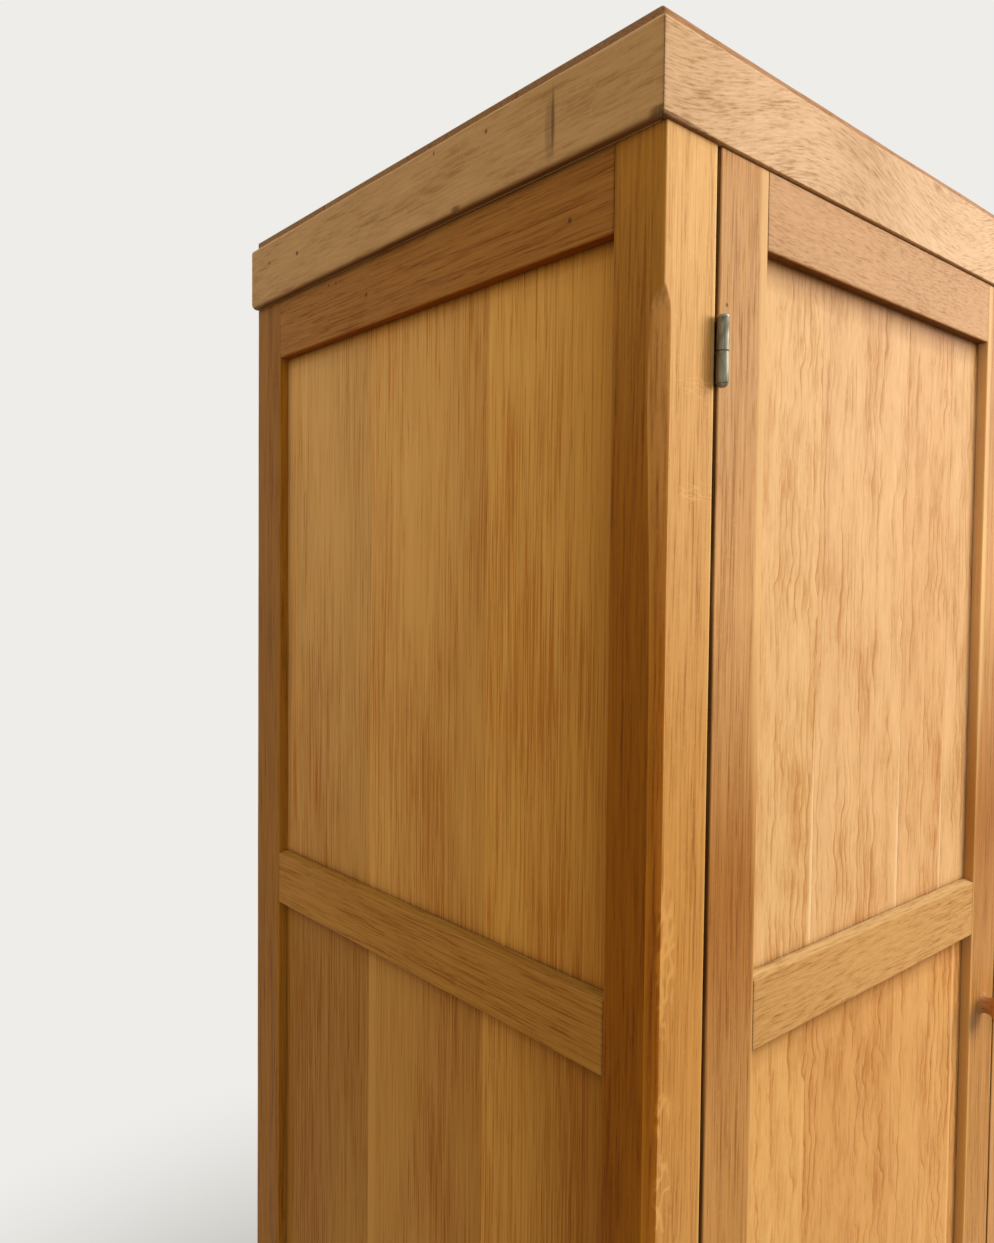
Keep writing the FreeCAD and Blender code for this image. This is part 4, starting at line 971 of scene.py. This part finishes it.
doorBevel = ((8.0, 2.6), 1.1)
door = {
    "y": (-266.5, -244.5), "z": (558.2, 1758.8), "hinged": (424.0, 479.0), "meeting": (1.5, 56.5),
    # soot and painted shade on the stiles' edges, in the gaps
    "stileWood": (216, 157, 93), "stileSapwood": (2.4, 8.5, 1180, 1420), "soot": (0.95, 0.0),
    "stileShades": {-1: [("z", 1485.0, 60.0, (1.08, 1.08, 1.1)), ("z", 1245.0, 115.0, (0.7, 0.56, 0.36)),
                         ("z", 940.0, 230.0, (0.87, 0.8, 0.6))],
                    1: [("z", 1390.0, 170.0, (0.9, 0.84, 0.7)), ("z", 1054.0, 90.0, (0.88, 0.8, 0.64)),
                        ("z", 780.0, 150.0, (0.94, 0.9, 0.8))]},
    "rails": {"top": {"z": (1704.0, 1758.8), "wood": (214, 160, 106), "finish": topRailOak,
                      "joint": 0.3, "sooty": {"+z": (0.9, 0.0)},             # its joints hardly show; soot and painted shade on its top, in the gap under the cornice
                      "edges": {"-y+z": (0.4, 2.0), "-y-z": eased}},
              "mid": {"z": (1129.0, 1184.0), "wood": (216, 160, 92), "finish": railOak,
                      "joint": 0.6, "sooty": {}, "edges": {"-y+z": doorBevel, "-y-z": eased}},
              "bottom": {"z": (558.2, 612.0), "wood": (210, 154, 90), "finish": railOak,
                         "joint": 0.6, "sooty": {}, "edges": {"-y+z": doorBevel}}},
    # rail undersides darker: painted shade; tops and upward bevels paler: painted highlight
    "railTints": {"-z": (0.3, 0.2, 0.09), "+z": (0.97, 1.2, 1.6)},
    "panelY": (-257.8, -249.8),
    "bays": {"upper": {"z": (1184.0, 1704.0), "joints": [424.0, 334.0, 194.0, 110.0, 56.5],
                       "grime": (13.5, (0.38, 0.25, 0.06)),       # painted shadow on the panel, under the rail
                       "sapwood": (3.6, 0.2, 1230, 1400), "sapBoards": (0, 1, 2),
                       "wood": [(244, 191, 126), (242, 188, 126), (238, 182, 120), (238, 185, 124)]},
             # the lower boards are darker than the upper ones: their own tone, and painted light falling off
             # downwards
             "lower": {"z": (612.0, 1129.0), "joints": [424.0, 338.0, 196.0, 74.0, 56.5],
                       # painted shadow on the panel, under the rail
                       "grime": (12.5, (0.57, 0.44, 0.24)),
                       "sapwood": (3.6, 3.6, 0, 1), "sapBoards": (2,),
                       "wood": [(240, 180, 104), (230, 166, 93), (234, 171, 98), (236, 172, 100)]}},
}
for side in (-1, 1):
    label = sideName[side]
    body = label + "_door"
    betweenStiles = xSpan(side, door["meeting"][1], door["hinged"][0])
    for key, x, gapSide, panelSide in (("hinge", door["hinged"], outside(side), inside(side)),
                                       ("meeting", door["meeting"], inside(side), outside(side))):
        stile = plank(label + key + "Stile", "z", (xSpan(side, *x), door["y"], door["z"]), door["stileWood"],
                      ends=(0.8, 0.3), joints=(False, True), jointWide=(0.7, 0.3), pith=(40, 330), step=14.0,
                      sooty={gapSide: door["soot"]}, pale={panelSide: door["stileSapwood"]},
                      shades=door["stileShades"][side])
        makePiece(body + "_" + key + "_stile", [stile], frameOak, body)
    for key, own in door["rails"].items():
        joint = (own["joint"], own["joint"])
        rail = plank(label + key + "DoorRail", "x", (betweenStiles, door["y"], own["z"]), own["wood"],
                     edges=own["edges"], ends=joint, jointWide=joint, pith=(70, 360), sooty=own["sooty"],
                     tints=door["railTints"])
        makePiece(body + "_" + key + "_rail", [rail], own["finish"], body)
    for bay, own in door["bays"].items():
        low, high = own["z"]
        boards = []
        for n, (x0, x1) in enumerate(pairs(own["joints"])):
            start = x0 + tuck if n == 0 else x0
            stop = x1 - tuck if n == 3 else x1
            span = (xSpan(side, start, stop), door["panelY"], (low - tuck, high + tuck))
            boards.append(plank(
                label + bay + "DoorBoard" + str(n), "z", span, own["wood"][n], ease=0.45, ends=snug, joints=clean,
                pith=(300 if n % 2 else 270, 1150), step=26.0,
                pale={inside(side): own["sapwood"]} if n in own["sapBoards"] else {},
                shades=[("z", high, *own["grime"])], opening={"x": sorted(betweenStiles), "z": (low, high)}))
        makePiece(body + "_" + bay + "_panel", boards, doorPanelOak, body)
print("doors made")

# drawers, with heights above the runners

drawer = {
    "half": 480.0, "thick": 12, "end": 222.5, "frontY": (-266.5, -246.5), "frontZ": (2, 164),
    "sideZ": (0.3, 150), "backZ": (16.3, 144),
    "bottomHalf": 473, "bottomY": (-251.5, 222.1), "bottomZ": (10.3, 16.3), "bottomBoards": 3,
    "frontWood": {"upper": (226, 172, 110), "lower": (220, 164, 102)},
    "sideWood": (206, 168, 118), "backWood": (200, 160, 110),
}
for level, z in drawerFloors.items():
    body = level + "_drawer"
    half, thick, end = drawer["half"], drawer["thick"], drawer["end"]
    face = plank(level + "DrawerFront", "x", ((-half, half), drawer["frontY"], above(z, drawer["frontZ"])),
                 drawer["frontWood"][level], ease=1.6, ends=(1.2, 1.2), joints=clean, pith=(1150, 150),
                 step=20.0)
    makePiece(body + "_front", [face], drawerOak, body)
    parts = [plank(level + "DrawerSide" + str(side), "y", (xSpan(side, half - thick, half),
                   (drawer["frontY"][1], end), above(z, drawer["sideZ"])), drawer["sideWood"], ends=(0.5, 0.8),
                   pith=(50, 300), step=30.0) for side in (-1, 1)]
    parts.append(plank(level + "DrawerBack", "x", ((thick - half, half - thick), (end - thick, end),
                       above(z, drawer["backZ"])), drawer["backWood"], ends=snug, pith=(50, 300), step=30.0))
    makePiece(body + "_box", parts, insideWood, body)
    lines = np.linspace(*drawer["bottomY"], drawer["bottomBoards"] + 1)
    parts = [plank(level + "DrawerBottom" + str(k), "x", ((-drawer["bottomHalf"], drawer["bottomHalf"]), y,
                   above(z, drawer["bottomZ"])), insideTones[k % 3], ease=0.4, ends=snug, joints=clean,
                   pith=(200, 300), step=40.0) for k, y in enumerate(pairs(lines))]
    makePiece(body + "_bottom", parts, insideWood, body)
print("drawers made")

# knobs turned in oak: base fillet, hollow neck, full rim with a fine turned line, domed crown

knob = {"wood": (196, 142, 86), "face": -266.5, "doorX": 29, "doorZ": 1054, "drawerX": 270, "drawerLift": 83,
        "line": {"at": 22.6, "wide": 0.5, "deep": 0.35}, "foot": [(0.2, 0.05), (10.6, 0.05)],
        "outline": [(11.0, 0.0), (9.3, 1.6), (8.3, 3.6), (8.0, 6.0), (8.3, 8.6), (9.4, 11.4), (11.9, 14.0),
                    (14.6, 16.4), (16.0, 19.0), (15.6, 21.6), (13.8, 24.2), (10.6, 26.4), (6.0, 27.5),
                    (2.5, 27.9), (0.2, 28.0)]}


def knobPart(name, x, z):
    # the smoothed outline less a narrow bell curve for the turned line
    outline = smoothOutline(knob["outline"])
    line = knob["line"]
    outline[:, 0] -= line["deep"] * np.exp(-((outline[:, 1] - line["at"]) / line["wide"]) ** 2)
    return lathe(name, (x, knob["face"], z), "-y", np.concatenate([knob["foot"], outline]), knob["wood"])


makePiece("left_door_knob", [knobPart("leftKnob", -knob["doorX"], knob["doorZ"])], turnedOak, "left_door")
makePiece("turn_knob", [knobPart("turnKnob", knob["doorX"], knob["doorZ"])], turnedOak, "turn_catch")
for level, z in drawerFloors.items():
    parts = [knobPart(level + str(x), x, z + knob["drawerLift"]) for x in (-knob["drawerX"], knob["drawerX"])]
    makePiece(level + "_drawer_knobs", parts, turnedOak, level + "_drawer")
print("knobs made")

# lift-off hinges: bored barrels, a pin with a tapered foot, and leaves let into the gap

hinge = {
    "axis": (480.5, -271.0), "heights": (1623.0, 697.0), "half": 21.5, "radius": 4.25, "bore": 2.06,
    "split": 0.15, "tip": 2.5, "boreEnd": 3.6, "swell": 0.12, "groove": 0.5,
    "leafThick": 1.4, "leafY": (-265.0, -246.5), "knuckleY": (-270.5, -264.0), "knuckleInset": (0.05, 0.3),
    # painted shade on the leaf's front edge and on the knuckle's back, in the gap
    "leafShade": {"-y": (2.0, 0.95)}, "knuckleShade": {"+y": (60.0, 0.95)},
    "pinTip": [(0.1, -0.02), (3.4, -0.02), (3.9, 0.2), (3.5, 0.9), (2.7, 1.8), (1.9, 2.3), (1.0, 2.5),
               (0.1, 2.5)],
    "pinShaft": [(0.1, 4.2), (1.7, 4.2), (2.0, 4.6), (2.0, 38.0), (1.5, 38.8), (0.1, 38.8)],
}


def barrelPart(name, side, z, upper):
    # outline from the bore's end, out over the rim, along the slightly swelled barrel to its closed end
    r, bore, split = hinge["radius"], hinge["bore"], hinge["split"]
    t = np.linspace(0, 1, 12)
    length = hinge["half"] - split
    top = length + hinge["tip"]
    skin = np.stack([r - hinge["swell"] + hinge["swell"] * np.sin(math.pi * t), 0.5 + t * (length - 0.9)], 1)
    if upper:                                     # a groove, and a short tip with a painted highlight
        skin[:, 0] -= hinge["groove"] * np.exp(-((t - 1) / 0.05) ** 2)
        close = [(r - 0.25, length + 0.3), (r - 0.2, top - 0.5), (r - 0.35, top - 0.15), (r - 0.7, top),
                 (0.1, top)]
    else:
        close = [(r - 0.5, length), (0.1, length)]
    boreEnd = length - hinge["boreEnd"]
    start = [(0.1, boreEnd), (bore, boreEnd), (bore, 0.3), (bore + 0.25, 0.0), (r - 0.6, 0.0), (r - 0.2, 0.2)]
    outline = np.concatenate([start, skin, close])
    # a painted highlight at the tip, carried in the wear channel
    bright = np.clip(2 * (outline[:, 1] - top) + 1.6, 0, 1) if upper else None
    x, y = hinge["axis"]
    centre = (side * x, y, z + split if upper else z - split)
    return lathe(name, centre, "+z" if upper else "-z", outline, around=32, wear=bright)


def leafParts(name, side, z, upper):
    half, split, thick = hinge["half"], hinge["split"], hinge["leafThick"]
    doorEdge = door["hinged"][1]
    x0, x1 = (doorEdge, doorEdge + thick) if upper else (innerHalf - thick, innerHalf)
    low, high = (z + split, z + half) if upper else (z - half, z - split)
    inX, inZ = hinge["knuckleInset"]
    shared = {"colour": (255, 255, 255), "ease": 0.3, "ends": (0.3, 0.3), "joints": clean}
    plate = (xSpan(side, x0, x1), hinge["leafY"], (z - half, z + half))
    knuckle = (xSpan(side, x0 + inX, x1 - inX), hinge["knuckleY"], (low + inZ, high - inZ))
    return [plank(name + "Plate", "z", plate, crevice=hinge["leafShade"], **shared),
            plank(name + "Knuckle", "z", knuckle, crevice=hinge["knuckleShade"], **shared)]


def pinParts(name, side, z):
    x, y = hinge["axis"]
    foot = (side * x, y, z - hinge["half"])
    return [lathe(name + "Tip", foot, "-z", hinge["pinTip"], around=32),
            lathe(name + "Shaft", foot, "+z", hinge["pinShaft"], around=24)]


caseLeaves, pins = [], []
for side in (-1, 1):
    doorLeaves = []
    for z in hinge["heights"]:
        label = sideName[side] + str(int(z))
        for leaves, half, upper in ((caseLeaves, "low", False), (doorLeaves, "up", True)):
            leaves += [barrelPart(label + half, side, z, upper), *leafParts(label + half, side, z, upper)]
        pins += pinParts(label, side, z)
    makePiece(sideName[side] + "_door_hinge_leaves", doorLeaves, agedSteel, sideName[side] + "_door")
makePiece("case_hinge_leaves", caseLeaves, agedSteel)
makePiece("hinge_pins", pins, agedSteel)
print("hinges made")

# steel pieces that keep their CAD shape
for node in ("case_hinge_screws", "left_door_hinge_screws", "right_door_hinge_screws",
             "left_bolt", "left_bolt_plate", "turn_tongue"):
    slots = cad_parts[node].data.materials
    slots.clear()
    slots.append(agedSteel)

# floor, lamps and background

studio = {"background": (238, 237, 233), "fill": (1.0, 0.985, 0.96), "fillStrength": 0.55,
          "keyPlace": (2.1, -2.4, 2.5), "keyAim": (-0.35, -0.2, 1.35), "keySize": 2.4, "keyPower": 100.0,
          "key": (1.0, 0.975, 0.94),
          "floor": (236, 236, 233), "floorHalf": 9.0, "floorBounce": 0.3, "floorFades": (0.8, 2.0),
          "floorRoughness": 0.9, "floorSpecular": 0.05}


def litBackground(tree):
    # 1 for rays that see the background straight on, in a mirror or through glass
    path = put(tree, "LightPath", {})
    seen = calc(tree, "MAXIMUM", path.outputs["Is Camera Ray"], path.outputs["Is Glossy Ray"])
    return calc(tree, "MAXIMUM", seen, path.outputs["Is Transmission Ray"])


pale = (*linear(studio["background"]), 1)
floorFinish, tree, shader = newFinish("paleFloor")
grey = (*(studio["floorBounce"],) * 3, 1)
floorColour = blended(tree, litBackground(tree), grey, (*linear(studio["floor"]), 1))
tree.links.new(floorColour, shader.inputs["Base Color"])
shader.inputs["Roughness"].default_value = studio["floorRoughness"]
shader.inputs["Specular IOR Level"].default_value = studio["floorSpecular"]
far = vectorCalc(tree, "LENGTH", put(tree, "TexCoord", {}).outputs["Object"])
away = calc(tree, "MULTIPLY", spread(tree, far, *studio["floorFades"]), litBackground(tree))
glow = put(tree, "Emission", {"Color": pale, "Strength": 1.0})
mixed = put(tree, "MixShader", {0: away, 1: shader.outputs[0], 2: glow.outputs[0]})
tree.links.new(mixed.outputs[0], tree.nodes["Material Output"].inputs["Surface"])
h = studio["floorHalf"]
floorMesh = bpy.data.meshes.new("floor")
floorMesh.from_pydata([(-h, -h, 0), (h, -h, 0), (h, h, 0), (-h, h, 0)], [], [(0, 1, 2, 3)])
floorMesh.materials.append(floorFinish)
floor = addObject("floor", floorMesh)

world = bpy.data.worlds.new("studio")
bpy.context.scene.world = world
world.use_nodes = True
tree = world.node_tree
tree.nodes.clear()
seen = put(tree, "Background", {"Color": pale, "Strength": 1.0})
fill = put(tree, "Background", {"Color": (*studio["fill"], 1), "Strength": studio["fillStrength"]})
both = put(tree, "MixShader", {0: litBackground(tree), 1: fill.outputs[0], 2: seen.outputs[0]})
put(tree, "OutputWorld", {"Surface": both.outputs[0]})


def setFrame(target, right, up, forward, place):
    # stands the object at place, looking along forward
    matrix = np.eye(4)
    matrix[:3] = np.stack([right, up, -forward, place], 1)
    target.matrix_world = matrix.T.tolist()


lamp = bpy.data.lights.new("keyLamp", "AREA")
lamp.shape = "DISK"
lamp.size = studio["keySize"]
lamp.energy = studio["keyPower"]
lamp.color = studio["key"]
forward = np.array(studio["keyAim"]) - np.array(studio["keyPlace"])
forward /= np.linalg.norm(forward)
right = np.cross(forward, (0, 0, 1))
right /= np.linalg.norm(right)
setFrame(addObject("keyLamp", lamp), right, np.cross(right, forward), forward, studio["keyPlace"])

# the camera stands some 60 cm off the left front corner, at chest height

view = {"place": (-1.0062, -0.65675, 1.4632), "yaw": 40.56, "pitch": -1.96, "roll": 0.58,
        "lens": 27.36, "sensor": 36.0, "nearest": 0.02}
camera = bpy.data.cameras.new("camera")
camera.sensor_width = view["sensor"]
camera.lens = view["lens"]
camera.clip_start = view["nearest"]
yaw, pitch, roll = (math.radians(view[key]) for key in ("yaw", "pitch", "roll"))
forward = np.array([math.sin(yaw) * math.cos(pitch), math.cos(yaw) * math.cos(pitch), math.sin(pitch)])
right = np.array([math.cos(yaw), -math.sin(yaw), 0])
up = np.cross(right, forward)
tilted = math.cos(roll) * right + math.sin(roll) * up
upright = math.cos(roll) * up - math.sin(roll) * right
cameraObject = addObject("camera", camera)
setFrame(cameraObject, tilted, upright, forward, view["place"])
bpy.context.scene.camera = cameraObject
bpy.context.scene.view_settings.view_transform = "Standard"
print("studio set")
